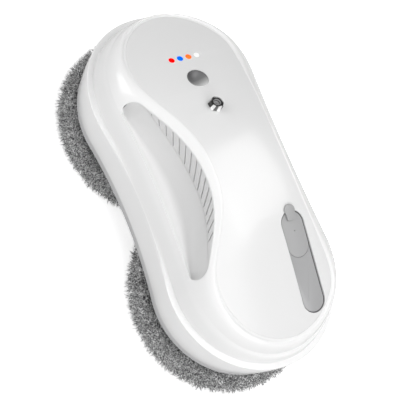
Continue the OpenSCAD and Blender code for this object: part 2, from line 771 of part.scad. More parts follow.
// The power socket: a threaded barrel with a blind bore, held by a nut on the top face
module lead_socket() {
    flange_h = cover_t / 2;
    color("black")
        on_top(0, socket_y)
            difference() {
                union() {
                    translate([0, 0, -socket_depth - cover_t])
                        cylinder(r = socket_r, h = socket_depth + cover_t + nut_h * 1.2);
                    translate([0, 0, -cover_t - control_gap - flange_h])
                        cylinder(r = socket_r * 1.6, h = flange_h);
                }
                translate([0, 0, nut_h * 1.2 - socket_depth])
                    cylinder(r = socket_bore_r, h = socket_depth + over);
            }
}
module socket_nut() {
    corner_r = nut_af / 2 / cos(30);
    color("silver")
        on_top(0, socket_y)
            difference() {
                intersection() {
                    translate([0, 0, control_gap])
                        cylinder(r = corner_r, h = nut_h, $fn = 6);
                    translate([0, 0, control_gap])
                        cylinder(r1 = corner_r * 1.15, r2 = corner_r * 0.93, h = nut_h);
                }
                translate([0, 0, -over])
                    cylinder(r = socket_r + shaft_fit, h = nut_h + 2 * over);
            }
}

// The water tank: a box under the slope with a raised neck that fills the window's recess
module water_tank() {
    color("lightgray")
        on_window()
            difference() {
                union() {
                    tank_block(0);
                    translate([0, 0, tank_top - control_gap])
                        stadium(control_gap, neck_top - tank_top + control_gap);
                }
                tank_block(tank_wall);
                translate([0, filler_at, tank_top - tank_depth / 2])
                    cylinder(r = filler_r, h = tank_depth);
                translate([0, pane_mid, tank_top - tank_depth / 2])
                    linear_extrude(tank_depth)
                        square([window_r, pane_l - 2 * window_r], center = true);
            }
}
// The tank's box, smaller all round by inset, rounded off inside the casing's tip
module tank_block(inset) {
    intersection() {
        translate([tank_side - tank_w + inset, -window_l / 2 + inset, tank_top - tank_depth + inset])
            cube([tank_w - 2 * inset, window_l - 2 * inset, tank_depth - 2 * inset]);
        translate([-window_x, (-tank_face_y - window_mid) / cos(window_tilt), -2 * tank_depth])
            cylinder(r = tank_face_r - sqrt(2) * cover_seat - 3 * control_gap - inset, h = 3 * tank_depth, $fn = 96);
    }
}
// The plug fills the window from its near end, and the pane fills the rest
module tank_window() {
    color("silver", 0.6)
        on_window()
            intersection() {
                translate([0, 0, neck_top + control_gap])
                    stadium(control_gap, pane_t);
                translate([-window_r, -window_l / 2, -cover_t * 2])
                    cube([2 * window_r, pane_l - control_gap * 2, cover_t * 3]);
            }
}
module filler_plug() {
    color("gray")
        on_window() {
            intersection() {
                translate([0, 0, neck_top + control_gap])
                    stadium(control_gap * 2, plug_t);
                translate([-window_r, plug_low + control_gap, -cover_t * 2])
                    cube([2 * window_r, plug_l, cover_t * 3]);
            }
            translate([0, filler_at, neck_top + control_gap - plug_stem])
                cylinder(r1 = filler_r - 2 * over, r2 = filler_r - over, h = plug_stem + plug_t / 2);
            translate([-tab_w / 2, window_l / 2 - window_r, neck_top + control_gap + plug_t / 2])
                cube([tab_w, window_r - tab_root, tab_z + tab_t / 2 - neck_top - control_gap - plug_t / 2]);
            translate([0, window_l / 2 - window_r, tab_z])
                linear_extrude(tab_t)
                    union() {
                        translate([-tab_w / 2, 0]) square([tab_w, window_r + tab_reach - tab_w / 2]);
                        translate([0, window_r + tab_reach - tab_w / 2]) circle(tab_w / 2);
                    }
        }
}

// Spray pump, hoses and nozzle
module spray_pump() {
    color("dimgray")
        translate([pump_x, pump_y, pump_z])
            rotate([90, 0, 0]) {
                cylinder(r = pump_r, h = pump_l, center = true);
                translate([0, 0, -pump_l / 2 - hose_r])
                    cylinder(r = hose_r, h = pump_l + 2 * hose_r);
            }
    color("dimgray")
        translate([pump_x - pump_r * 0.8, pump_y - pump_l / 4, deck_z])
            cube([pump_r * 1.6, pump_l / 2, pump_r / 2]);
}

// The duct that joins both wheels' air passages and leads them up to the fan
module duct_plan(inset) {
    for (side = [-1, 1])
        translate([0, side * wheel_y])
            circle(duct_r - inset);
    square([2 * (duct_w - inset), wheel_gap], center = true);
}
module air_duct() {
    color("slategray")
        difference() {
            translate([0, 0, duct_z])
                linear_extrude(duct_h)
                    duct_plan(0);
            translate([0, 0, duct_z + duct_wall])
                linear_extrude(duct_h - 2 * duct_wall)
                    duct_plan(duct_wall);
            for (side = [-1, 1])
                translate([0, side * wheel_y, duct_z - over])
                    cylinder(r = port_r, h = duct_wall + 2 * over);
            translate([0, 0, deck_z - duct_wall - over])
                cylinder(r = fan_inlet_r, h = duct_wall + 2 * over);
        }
    color("slategray")
        for (side = [-1, 1], across = [-1, 1])
            translate([across * (duct_w - 4 * shaft_r / 2), side * duct_leg_y, belly_z + base_wall])
                cylinder(r = shaft_r, h = duct_z - belly_z - base_wall);
}

module fan_housing() {
    color("gainsboro")
        difference() {
            union() {
                translate([0, 0, deck_z])
                    cylinder(r = fan_case_r, h = fan_case_h);
                translate([-fan_case_r - 2 * duct_wall, 0, deck_z])
                    cube([fan_case_r, fan_case_r, fan_case_h]);
            }
            translate([0, 0, deck_z + duct_wall])
                cylinder(r = fan_case_r - duct_wall, h = fan_case_h - 2 * duct_wall);
            translate([-fan_case_r - 2 * duct_wall - over, duct_wall, deck_z + duct_wall])
                cube([fan_case_r, fan_case_r - 2 * duct_wall, fan_case_h - 2 * duct_wall]);
            translate([0, 0, deck_z - over])
                cylinder(r = fan_inlet_r, h = duct_wall + 2 * over);
            translate([0, 0, deck_z + fan_case_h - duct_wall - over])
                cylinder(r = shaft_r + fan_gap, h = duct_wall + 2 * over);
        }
}
module fan_impeller() {
    back = duct_wall;
    color("lightblue") {
        translate([0, 0, fan_low + fan_tall - back])
            cylinder(r = fan_r, h = back);
        for (i = [0 : fan_blades - 1])
            rotate(i * 360 / fan_blades)
                fan_blade(fan_tall - back);
        translate([0, 0, fan_low])
            cylinder(r = shaft_r * 2, h = fan_tall - back / 2);
        translate([0, 0, fan_low + fan_tall - back / 2])
            cylinder(r = shaft_r, h = back / 2 + fan_gap + duct_wall + fan_motor_l / 2);
    }
}
// A blade that sweeps back as it runs out from the hub to the rim of the impeller
module fan_blade(h) {
    blade_t = fan_r / 18;
    root_r = shaft_r * 1.5;
    sweep = 38;
    steps = 5;
    line = [for (i = [0 : steps])
        let (out_share = i / steps, r = root_r + (fan_r - fan_gap / 4 - root_r) * out_share)
        [r, -sweep * out_share * out_share, asin(blade_t / 2 / r)]];
    translate([0, 0, fan_low])
        linear_extrude(h + duct_wall / 4)
            polygon(concat(
                [for (p = line) p[0] * [cos(p[1] - p[2]), sin(p[1] - p[2])]],
                [for (i = [steps : -1 : 0]) line[i][0] * [cos(line[i][1] + line[i][2]), sin(line[i][1] + line[i][2])]]));
}
module fan_motor() {
    motor_z = deck_z + fan_case_h;
    color("silver")
        translate([0, 0, motor_z])
            difference() {
                union() {
                    cylinder(r = fan_motor_r, h = fan_motor_l - 2 * duct_wall);
                    translate([0, 0, fan_motor_l - 2 * duct_wall])
                        cylinder(r1 = fan_motor_r, r2 = fan_motor_r - duct_wall, h = duct_wall);
                    cylinder(r = shaft_r * 2, h = fan_motor_l);
                }
                translate([0, 0, -over])
                    cylinder(r = shaft_r + shaft_fit, h = fan_motor_l / 2 + 2 * over);
            }
}

// The back-up battery stands on the duct at the button end
module battery_pack() {
    color("steelblue")
        translate([-battery_w / 2, wheel_y - duct_r + duct_wall, deck_z])
            difference() {
                cube([battery_w, battery_l, battery_h]);
                translate([-over, battery_l / 2 - duct_wall / 4, battery_h - duct_wall / 2])
                    cube([battery_w + 2 * over, duct_wall / 2, duct_wall]);
            }
}

// One wheel: disc with hub, gear, bearing, pad
module at_wheel(end) {
    translate([0, end * wheel_y, 0])
        children();
}
module wheel_disc(end) {
    rib_h = belly_z - disc_z - disc_t - 2 * over;
    color("lightgray")
        at_wheel(end) {
            rotate_extrude($fn = 96)
                polygon([
                    [port_r, disc_z], [disc_r - over, disc_z], [disc_r, disc_z + over],
                    [disc_r, disc_z + disc_t - over], [disc_r - over, disc_z + disc_t],
                    [hub_r + hub_wall, disc_z + disc_t], [hub_r, disc_z + disc_t + hub_wall / 2],
                    [hub_r, hub_top], [port_r, hub_top]
                ]);
            for (i = [0 : 11])
                rotate(i * 30)
                    translate([hub_r - over / 2, -over / 2, disc_z + disc_t - over / 2])
                        cube([wrap_r - hub_r - over, over, rib_h / 2]);
        }
}
module mop_pad(end) {
    fit = 0.3;
    color("gray")
        at_wheel(end)
            rotate_extrude($fn = 96)
                polygon(concat(
                    [[pad_hole_r, 0], [pad_r - pad_round, 0]],
                    [for (a = [-90 : 22.5 : 0])
                        [pad_r - pad_round + pad_round * cos(a), pad_round + pad_round * sin(a)]],
                    [for (a = [0 : 22.5 : 90])
                        [pad_r - pad_round + pad_round * cos(a), pad_t - pad_round + pad_round * sin(a)]],
                    [[wrap_r, pad_t], [wrap_r, disc_z + disc_t + fit], [disc_r + fit, disc_z + disc_t + fit],
                        [disc_r + fit, disc_z - fit], [pad_hole_r, disc_z - fit]]));
}
module wheel_gear(end) {
    color("ivory")
        at_wheel(end)
            translate([0, 0, gear_z])
                difference() {
                    linear_extrude(gear_w)
                        gear_outline(gear_teeth, 0);
                    translate([0, 0, -over])
                        cylinder(r = hub_r + bearing_fit, h = gear_w + 2 * over);
                }
}
module hub_bearing(end) {
    bore_r = hub_r + bearing_fit;
    low = belly_z - over / 2;
    color("silver")
        at_wheel(end)
            rotate_extrude($fn = 96)
                polygon([
                    [bore_r, low], [bearing_seat_r - lip_gap, low],
                    [bearing_seat_r - lip_gap, belly_z + base_wall + lip_gap],
                    [bearing_seat_r + over, belly_z + base_wall + lip_gap],
                    [bearing_seat_r + over, belly_z + base_wall + 2 * over], [bearing_seat_r - over, gear_z - over],
                    [bore_r, gear_z - over]
                ]);
}

// Involute gear outline, one tooth of it centred on the turn angle
function involute(base, roll) = base * [cos(roll) + roll * PI / 180 * sin(roll), sin(roll) - roll * PI / 180 * cos(roll)];
function turned(p, a) = [p[0] * cos(a) - p[1] * sin(a), p[0] * sin(a) + p[1] * cos(a)];
module gear_outline(teeth, turn) {
    pitch = teeth * tooth_module / 2;
    base = pitch * cos(pressure);
    tip = pitch + tooth_module * 0.9;
    root = pitch - tooth_module * 1.2;
    inv_pitch = tan(pressure) * 180 / PI - pressure;
    half = 90 / teeth - tooth_play / pitch / 4 * 180 / PI + inv_pitch;
    roll_tip = sqrt(tip * tip / base / base - 1) * 180 / PI;
    flank = [for (i = [0 : flank_steps]) involute(base, roll_tip * i / flank_steps)];
    polygon([for (t = [0 : teeth - 1])
        let (at = turn + t * 360 / teeth)
        each concat(
            [root * [cos(at - half), sin(at - half)]],
            [for (p = flank) turned(p, at - half)],
            [for (i = [flank_steps : -1 : 0]) turned([flank[i][0], -flank[i][1]], at + half)],
            [root * [cos(at + half), sin(at + half)]])
    ]);
}

// A pinion sits on the plain side of its wheel, towards the waist
function pinion_angle(end) = end > 0 ? -90 + pinion_turn : 90 - pinion_turn;
function pinion_place(end) = [mesh_gap * cos(pinion_angle(end)), end * wheel_y + mesh_gap * sin(pinion_angle(end)), 0];
// Turn that sets a pinion's gap opposite the wheel gear's tooth or part of a tooth on the centre line
function pinion_phase(end) =
    let (off = pinion_angle(end) - round(pinion_angle(end) * gear_teeth / 360) * 360 / gear_teeth)
    pinion_angle(end) + 180 + 180 / pinion_teeth + off * gear_teeth / pinion_teeth;
module drive_pinion(end) {
    color("ivory")
        translate(pinion_place(end)) {
            translate([0, 0, gear_z])
                linear_extrude(gear_w)
                    gear_outline(pinion_teeth, pinion_phase(end));
            translate([0, 0, gear_z - over])
                cylinder(r = shaft_r, h = motor_z - gear_z + motor_l / 3);
        }
}
module gear_motor(end) {
    color("silver")
        translate(pinion_place(end))
            translate([0, 0, motor_z])
                difference() {
                    union() {
                        cylinder(r = motor_r, h = motor_l * 0.4);
                        cylinder(r = motor_r - over, h = motor_l);
                        cylinder(r = shaft_r * 2, h = motor_l + over);
                    }
                    translate([0, 0, -over])
                        cylinder(r = shaft_r + shaft_fit, h = motor_l / 2);
                }
}
// A bracket under each motor, on two legs that stand on the base clear of the gears
module motor_bracket(end) {
    place = pinion_place(end);
    away = pinion_angle(end);
    color("dimgray")
        translate(place) {
            translate([0, 0, motor_z - bracket_t])
                difference() {
                    linear_extrude(bracket_t)
                        union() {
                            circle(motor_r);
                            rotate(away) translate([motor_r / 2, -motor_r * 0.7]) square([motor_r * 0.8, motor_r * 1.4]);
                        }
                    translate([0, 0, -over])
                        cylinder(r = shaft_r * 2, h = bracket_t + 2 * over);
                }
            for (side = [-1, 1])
                rotate(away)
                    translate([motor_r * 1.15, side * motor_r * 0.5, belly_z + base_wall])
                        cylinder(r = shaft_r, h = motor_z - belly_z - base_wall - bracket_t / 2);
        }
}

// Water path from the tank to the nozzle
module tank_hose() {
    color("lightcyan")
        translate([pump_x, pump_y + pump_l / 2 + hose_r, pump_z])
            rotate([-90, 0, 0])
                cylinder(r = hose_r, h = 3 * hose_r);
}
module nozzle_axis() {
    translate([nozzle_x, nozzle_y, nozzle_z])
        rotate([90, 0, 0])
            children();
}
module nozzle_bore() {
    nozzle_axis()
        translate([0, 0, -belly_inset - 2 * base_wall])
            cylinder(r = nozzle_r + lip_gap / 2, h = 3 * belly_inset);
}
module spray_nozzle() {
    color("whitesmoke")
        nozzle_axis()
            difference() {
                union() {
                    translate([0, 0, -belly_inset - base_wall])
                        cylinder(r = nozzle_r, h = belly_inset + base_wall + nozzle_out);
                    translate([0, 0, -belly_inset - base_wall - 2 * hose_r])
                        cylinder(r = hose_r, h = 2 * hose_r + over);
                }
                translate([0, 0, nozzle_out - over / 2])
                    cylinder(r1 = nozzle_r / 6, r2 = nozzle_r / 2, h = over / 2);
            }
}
module nozzle_hose() {
    color("lightcyan")
        translate([nozzle_x, nozzle_y + belly_inset + base_wall + 2 * hose_r, nozzle_z])
            rotate([-90, 0, 0])
                cylinder(r = hose_r, h = 3 * hose_r);
}

// The power switch: a rocker in a frame under the plain side of the waist
module power_switch() {
    color("black")
        translate([switch_x, 0, rocker_z])
            rotate([-rocker_tilt, 0, 0])
                difference() {
                    rotate([0, 90, 0])
                        cylinder(r = rocker_r, h = rocker_w, center = true);
                    for (side = [-1, 1])
                        rotate([side * rocker_tilt, 0, 0])
                            translate([-rocker_w, -rocker_r * (side > 0 ? 2 : 0), -2 * rocker_r - rocker_r * 0.8])
                                cube([2 * rocker_w, 2 * rocker_r, 2 * rocker_r]);
                }
}
module switch_frame() {
    color("dimgray")
        difference() {
            translate([switch_x - rocker_w / 2 - 2 * over, -rocker_r - rocker_gap - over, belly_z])
                cube([rocker_w + 4 * over, 2 * (rocker_r + rocker_gap + over), 2 * rocker_r + 2 * over]);
            translate([switch_x - rocker_w / 2 - rocker_gap, -rocker_r - rocker_gap, belly_z - over])
                cube([rocker_w + 2 * rocker_gap, 2 * (rocker_r + rocker_gap), 2 * rocker_r + 2 * over + rocker_gap]);
        }
}

top_shell();
top_cover();
grip_insert();
base_shell();
base_screws();
start_button();
indicator_red();
indicator_blue();
indicator_orange();
indicator_white();
main_board();
lead_socket();
socket_nut();
water_tank();
tank_window();
filler_plug();
spray_pump();
tank_hose();
nozzle_hose();
spray_nozzle();
mop_pad(1);  // mop_pad_front
mop_pad(-1);  // mop_pad_rear
wheel_disc(1);  // wheel_disc_front
wheel_disc(-1);  // wheel_disc_rear
wheel_gear(1);  // wheel_gear_front
wheel_gear(-1);  // wheel_gear_rear
hub_bearing(1);  // hub_bearing_front
hub_bearing(-1);  // hub_bearing_rear
drive_pinion(1);  // drive_pinion_front
drive_pinion(-1);  // drive_pinion_rear
gear_motor(1);  // gear_motor_front
gear_motor(-1);  // gear_motor_rear
motor_bracket(1);  // motor_bracket_front
motor_bracket(-1);  // motor_bracket_rear
air_duct();
fan_housing();
fan_impeller();
fan_motor();
battery_pack();
power_switch();
switch_frame();
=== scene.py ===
import math

import bmesh
import bpy
import numpy as np
from mathutils import Matrix, Vector


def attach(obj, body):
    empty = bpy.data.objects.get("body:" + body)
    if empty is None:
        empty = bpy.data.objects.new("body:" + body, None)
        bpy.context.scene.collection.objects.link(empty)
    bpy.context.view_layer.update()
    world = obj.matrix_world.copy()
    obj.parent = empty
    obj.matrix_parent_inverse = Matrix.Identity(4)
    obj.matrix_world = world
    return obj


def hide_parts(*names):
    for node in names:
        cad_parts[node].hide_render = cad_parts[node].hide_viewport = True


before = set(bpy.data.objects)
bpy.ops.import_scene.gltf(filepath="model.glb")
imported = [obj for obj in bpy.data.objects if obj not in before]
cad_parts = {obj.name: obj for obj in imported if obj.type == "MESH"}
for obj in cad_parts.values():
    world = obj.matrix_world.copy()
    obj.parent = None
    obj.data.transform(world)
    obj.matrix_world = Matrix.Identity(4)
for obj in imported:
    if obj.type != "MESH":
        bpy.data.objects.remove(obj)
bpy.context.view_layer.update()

MM = 0.001
TINY = 1e-9

# Driving sizes of the casing, in millimetres, heights counted from the lower rim
WHEEL_Y = 69.85
RIM_Z = 27.5
RIM_R, RIM_WAIST = 65.1, 59.5
RIM_EDGE, RIM_STEP, RIM_SOFT = 0.5, 0.3, 0.25
FLARE, BELLY_SHARE, BELLY_WAIST_SHARE, BELLY_SOFT = 2.6, 0.7, 0.4, 9.0
LEDGE_H, LEDGE_W, LEDGE_DROP = 36.0, 4.4, 9.0
LEDGE_CRISP, LEDGE_SOFT, LEDGE_SOFT_Y, NECK_SOFT = 0.5, 7.5, 62.0, 8.0
SHOULDER_R, SHOULDER_WAIST = 58.8, 55.0
SHOULDER_H, SHOULDER_DROP, SHOULDER_SOFT = 55.0, 10.0, 0.4
FLANK_BULGE = 3.4
FLANK_SHARES = (0.04, 0.1, 0.18, 0.27, 0.36, 0.45, 0.54, 0.63, 0.72, 0.8, 0.87, 0.93, 0.975)
PLAIN_SHARE, PLAIN_LOW = 0.93, 6.4
WALL, SHOULDER_WALL_SHARE, LEDGE_WALL_SHARE = 2.6, 1.4, 1.6
BAND_H, BAND_INSET, BAND_T, BAND_TUCK, BAND_LIP, BAND_SOFT = 7.2, 0.45, 1.2, 0.1, 0.5, 0.2

# Top face
RIDGE_H, RIDGE_Y = 91.4, 4.9
BUTTON_PITCH, TANK_PITCH = 18.3, 15.6
CREST_ROUND = 14.0
BUTTON_FACE_Y, BUTTON_FACE_R = 80.2, 45.5
TANK_FACE_Y, TANK_FACE_R = 73.0, 49.2
FACE_WAIST_GRIP, FACE_WAIST_PLAIN = 24.9, 32.8
CORNER_SOFT = 8.0
COVER_T, COVER_SEAT, COVER_GAP = 2.4, 4.0, 0.15
FACE_RIM, FACE_RIM_SHARE, FACE_RIM_SOFT = 1.2, 0.9, 0.06
FACE_SEAM, EDGE_SOFT, EDGE_STEPS = 0.05, 0.08, 3

# Hand grip
BROW_X, BROW_Y, BROW_REACH_BUTTON, BROW_REACH_TANK = 29.7, 5.0, 105.5, 84.0
GRIP_TOP_Y, GRIP_TANK_Y, GRIP_END_R = 63.9, 63.9, 4.4
GRIP_MID, GRIP_HALF = (GRIP_TOP_Y - GRIP_TANK_Y) / 2, (GRIP_TOP_Y + GRIP_TANK_Y) / 2
FOOT_H, FOOT_Y, FOOT_CLIMB = 59.3, 5.0, 12.3
FLOOR_DIP, GRIP_T, GRIP_GAP = 7.0, 2.2, 0.15
WAIST_POWER, BROW_POWER = 1.3, 1.11
LIP, LIP_SHARE, LIP_STEPS, LIP_TAIL, LIP_OVER, LIP_SINK = 0.9, 0.9, 8, 0.6, 0.12, 0.02
LOUVRE_ROOM, BROW_SKIN, POCKET_END, POCKET_LEAST = 1.8, 1.3, 1.0, 0.1
OUTLINE_SHARE, OUTLINE_LEAST, GRIP_END_GAP, CUT_OVER = 0.6, 0.1, 0.05, 30.0
LINING_TUCK, LOUVRE_TUCK, LOUVRE_T, BACK_GAP, BACK_T, BACK_TUCK = 0.4, 0.5, 1.0, 0.1, 0.4, 0.2
SLOTS, SLOT_Y, SLOT_PITCH, SLOT_W, SLOT_LEAN, SLOT_MARGIN = 15, 4.6, 6.6, 1.2, 30.0, 1.0
SLOT_TUCK, SLOT_REACH = 0.9, 8.0

# Lamps, button, socket and nut; steps are (inset, height) pairs over the top face or the piece's own top
CONTROL_GAP = 0.15
LAMP_Y, LAMP_PITCH, LAMP_R, LAMP_GAP = 85.9, 6.9, 2.2, 0.12
BUTTON_Y, BUTTON_R, BUTTON_GAP = 66.8, 7.6, 0.18
DISH_INSET, DISH_LOW, DISH_DEEP, DISH_STEPS, DISH_HUB = 0.7, -2.6, 2.3, 12, 0.02
BUTTON_FLANGE, FLANGE_LOW, FLANGE_TOP = 1.2, -3.1, -2.45
BUTTON_STEPS = ((0, -0.35), (0.12, -0.2), (0.35, -0.15))
LENS_STEPS = ((0, -4), (0, -0.16), (0.08, -0.06), (0.25, 0), (LAMP_R / 2, 0.06), (LAMP_R - 0.05, 0.08))
SOCKET_Y, SOCKET_R, SOCKET_BORE_R = 42.5, 3.8, 1.9
THREADS, THREAD_LOW, THREAD_END, THREAD_DEEP, THREAD_RISE = 14, -2.2, 0.4, 0.28, 0.18
BARREL_LOW, BARREL_SHARE, BARREL_RISE, BORE_LOW = -9.0, 0.9, 0.15, -6.8
NUT_AF, NUT_H, NUT_BORE_GAP, NUT_COLLAR, NUT_SIDES = 9.6, 4.6, 0.05, 0.75, 6
NUT_FOOT, NUT_CORNER_H, NUT_FACE_H, NUT_FOOT_SHARE, NUT_POWER = 0.05, 0.25, 0.9, 0.97, 1.5
NUT_TOP_H, NUT_MOUTH = 0.3, 0.2
MOUTH_DEEP, MOUTH_STEPS = 1.7, ((0.1, -0.2), (0.25, 0), (0.75, 0), (0.9, -0.15), (1.0, -1.6))
SLEEVE_IN, SLEEVE_OUT, SLEEVE_DEEP, SLEEVE_DROP, SLEEVE_SOFT = 0.35, 1.05, 1.9, 0.5, 0.1
PIN_R, PIN_STEPS = 0.7, ((0, -1.0), (0.2, -0.7), (0.6, -0.6))
HOLE_LOW, HOLE_TOP = -6, 4

# Tank window and filler plug; steps are (inset, height) pairs, the heights counted from the piece's own top
WINDOW_X, WINDOW_R, WINDOW_NEAR, WINDOW_FAR = 20.8, 9.35, 42.0, 112.0
PLUG_END, PLUG_T, PLUG_SINK, PLUG_SEAT, SEAL = 74.6, 1.4, 0.5, 0.1, 0.75
PANE_SINK, PANE_STEPS = 0.25, ((0, -0.25), (0.08, -0.1), (0.3, 0))
SEAL_STEPS = ((0.04, -0.1), (0.2, 0.05), (SEAL - 0.2, -0.15), (SEAL - 0.08, -0.5))
BEAD_W, BEAD_OUT, BEAD_H, BEAD_SINK, BEAD_STEPS = 0.75, 0.45, 0.42, 0.12, 6
HALF_SHARE, HALF_SIDE, HALF_DEEP = 0.75, 12, 4
FOLD_HIGH_X, FOLD_LOW_X, FOLD_W, FOLD_NEAR, FOLD_FAR = 3.6, -3.2, 0.7, 8.0, 9.5
FOLD_ROOT, FOLD_H, BITE_OVER, BITE_LOW, BITE_TOP = 0.2, 0.07, 0.1, -3, 1
LID_GAP, LID_CHAMFER, LID_STEPS = 0.2, 0.15, ((0, -0.3), (0.09, -0.1), (0.32, 0))
PINHOLE_X, PINHOLE_DOWN, PINHOLE_R, PINHOLE_DEEP, PINHOLE_FLARE, PINHOLE_OVER = 0.3, 14.4, 0.38, 0.9, 0.12, 0.1
STEM_R, STEM_SINK, STEM_SHARE = 5.2, 0.3, 0.6
STEM_RIBS = ((4.6, -5.4), (5.1, -4.9), (5.2, -4.2), (4.9, -3.9), (5.2, -3.5))
TAB_W, TAB_REACH, TAB_ROOT, TAB_NECK, TAB_HEEL, TAB_HEEL_SHARES = 8.5, 4.3, 3.2, 2.4, 0.7, (0.86, 0.84, 0.4)
TAB_STEPS = ((0.2, 0.32), (0.04, 0.42), (0, 0.6), (0, 0.95), (0.1, 1.15), (0.3, 1.26))
NECK_SHARE, NECK_LOW, NECK_END, NECK_TOP = 0.8, 0.4, 1.3, 0.7

# Mop pads
PAD_T, PAD_HOLE_R = 16.0, 31.0
PAD_HOLE_STEPS = ((0, 4.0), (1.5, 1.6), (4, 1.2))
PILE_R, PILE_DEEP, PILE_ROUND, PILE_LOW = 75.0, 5.0, 6.5, 1.2
PAD_STEPS, PAD_SIDES = 26, 180
WRAP_R, WRAP_SOFT, WRAP_DROP, WRAP_LOW = 54.0, 0.5, 2.5, 12.0
TUFTS, TUFT_LEAN, TUFT_BEND, TUFT_LENGTH, TUFT_WIDTH = 18500, 0.38, 0.35, (3.0, 5.2), (0.3, 0.55)
TUFT_RINGS, TUFT_TWIST = ((-0.12, 1.0), (0.6, 0.75)), 0.3
TUFT_OVER, TUFT_LOW, TUFT_RISE = 0.6, 0.05, 3.0

# Points along and across the lofts, and how their corners are rounded
STATIONS, GRIP_STATIONS, SECTIONS, ACROSS = 170, 120, 110, 26
CORNER_STEPS, CORNER_SHARE = 5, 0.48


# Outlines and heights over y
def tan(a):
    """Tangent of an angle in degrees."""
    return math.tan(math.radians(a))


def half_width(y, r, w):
    """Half width of an outline with a round of radius r about each wheel and a waist w."""
    bend = (w * w + WHEEL_Y * WHEEL_Y - r * r) / (2 * (r - w))
    meet = WHEEL_Y * bend / (r + bend)
    a = np.abs(y)
    mid = w + bend - np.sqrt(np.maximum(0, bend * bend - y * y))
    end = np.sqrt(np.maximum(0, r * r - (a - WHEEL_Y) ** 2))
    return np.where(a < meet, mid, end)


def button_slope(y):
    """Height of the button end's slope."""
    return RIDGE_H - tan(BUTTON_PITCH) * (y - RIDGE_Y)


def tank_slope(y):
    """Height of the tank end's slope."""
    return RIDGE_H + tan(TANK_PITCH) * (y - RIDGE_Y)


def crest(y):
    """Height of the top face over the rim."""
    rises = np.exp(-button_slope(y) / CREST_ROUND) + np.exp(-tank_slope(y) / CREST_ROUND)
    return -CREST_ROUND * np.log(rises)


def crest_tilt(y):
    """Slope angle of the top face, in radians."""
    share = 1 / (1 + math.exp((button_slope(y) - tank_slope(y)) / CREST_ROUND))
    return math.atan(tan(TANK_PITCH) * (1 - share) - tan(BUTTON_PITCH) * share)


def shoulder(y):
    """Height of the shoulder line, which falls away at both ends."""
    past = np.maximum(0, np.abs(y) - WHEEL_Y) / SHOULDER_R
    return SHOULDER_H - SHOULDER_DROP * past * past


def waist_share(y, reach, power=WAIST_POWER):
    """How much of the waist's draw acts at y: all of it in the middle, none at the reach."""
    return np.cos(math.pi / 2 * np.minimum(1, np.abs(y) / reach) ** power) ** 2


def face_end(y):
    """Half width of the top face from its two end rounds alone."""
    top = np.sqrt(np.maximum(0, BUTTON_FACE_R ** 2 - (y - BUTTON_FACE_Y) ** 2))
    low = np.sqrt(np.maximum(0, TANK_FACE_R ** 2 - (y + TANK_FACE_Y) ** 2))
    share = (y + TANK_FACE_Y) / (BUTTON_FACE_Y + TANK_FACE_Y)
    mid = TANK_FACE_R + (BUTTON_FACE_R - TANK_FACE_R) * share
    return np.where(y > BUTTON_FACE_Y, top, np.where(y < -TANK_FACE_Y, low, mid))


def face_grip(y):
    """Half width of the top face on the grip side."""
    end = face_end(y)
    reach = np.where(y > 0, BUTTON_FACE_Y, TANK_FACE_Y)
    return end - np.maximum(0, end - FACE_WAIST_GRIP) * waist_share(y, reach)


def face_plain(y):
    """Half width of the top face on the plain side, whose flank is flat."""
    top = crest(0.0)
    lean = (PLAIN_SHARE * SHOULDER_WAIST - FACE_WAIST_PLAIN) / (top - SHOULDER_H + FLANK_BULGE)
    flank = FACE_WAIST_PLAIN + lean * (top - crest(y))
    end = PLAIN_SHARE * face_end(y)
    near = np.maximum(0, CORNER_SOFT - np.abs(flank - end)) / CORNER_SOFT
    cut = CORNER_SOFT / 4 * near * near * np.minimum(1, end / CORNER_SOFT)
    return np.maximum(0, np.minimum(end, flank) - cut)


def grip_round(y):
    """Opening of the grip as a share, one along its length and falling to nothing in its round ends."""
    past = np.maximum(0, np.abs(y - GRIP_MID) - GRIP_HALF + GRIP_END_R) / GRIP_END_R
    return np.sqrt(np.maximum(0, 1 - past * past))


def edge_x(y):
    """Outer edge of the grip, just inside the shoulder line."""
    return half_width(y, SHOULDER_R, SHOULDER_WAIST) - GRIP_GAP * 3


def brow(y):
    """Inner edge of the grip, drawn in towards its middle."""
    past = y + BROW_Y
    reach = np.where(past > 0, BROW_REACH_BUTTON, BROW_REACH_TANK)
    return edge_x(y) - (edge_x(0.0) - BROW_X) * waist_share(past, reach, BROW_POWER)


def grip_outer(y):
    """Outer side of the grip's opening."""
    return edge_x(y) - (edge_x(y) - brow(y)) * (1 - grip_round(y)) / 2


def grip_inner(y):
    """Inner side of the grip's opening."""
    return brow(y) + (edge_x(y) - brow(y)) * (1 - grip_round(y)) / 2


def flank_h(x, y):
    """Height over the rim of the flank on the grip side, x counted away from the centre line."""
    xb, xa = half_width(y, SHOULDER_R, SHOULDER_WAIST), face_grip(y)
    share = np.clip((xb - x) / (xb - xa), 0, 1)
    return shoulder(y) + share * (crest(y) - shoulder(y)) + 4 * FLANK_BULGE * share * (1 - share)


def foot(y):
    """Height over the rim of the foot of the louvred wall."""
    far = np.where(y > FOOT_Y, GRIP_TOP_Y - FOOT_Y, GRIP_TANK_Y + FOOT_Y)
    out = (y - FOOT_Y) / far
    return np.minimum(FOOT_H + FOOT_CLIMB * out * out, flank_h(grip_inner(y), y) - SLOT_MARGIN)


# Rings of points, up the plain side and back down the grip side
def stations(mid, half, n):
    """Places along the part, closer together towards its ends."""
    return mid + half * np.sin(np.pi * np.arange(n + 1) / n - np.pi / 2)


def ring(lo, hi, plain, grip, height):
    """A closed ring from its half widths and heights along y."""
    y = stations((lo + hi) / 2, (hi - lo) / 2, STATIONS)
    back = y[-2:0:-1]
    up = np.stack([plain(y), y, RIM_Z + height(y)], axis=1)
    down = np.stack([-grip(back), back, RIM_Z + height(back)], axis=1)
    return np.concatenate([up, down])


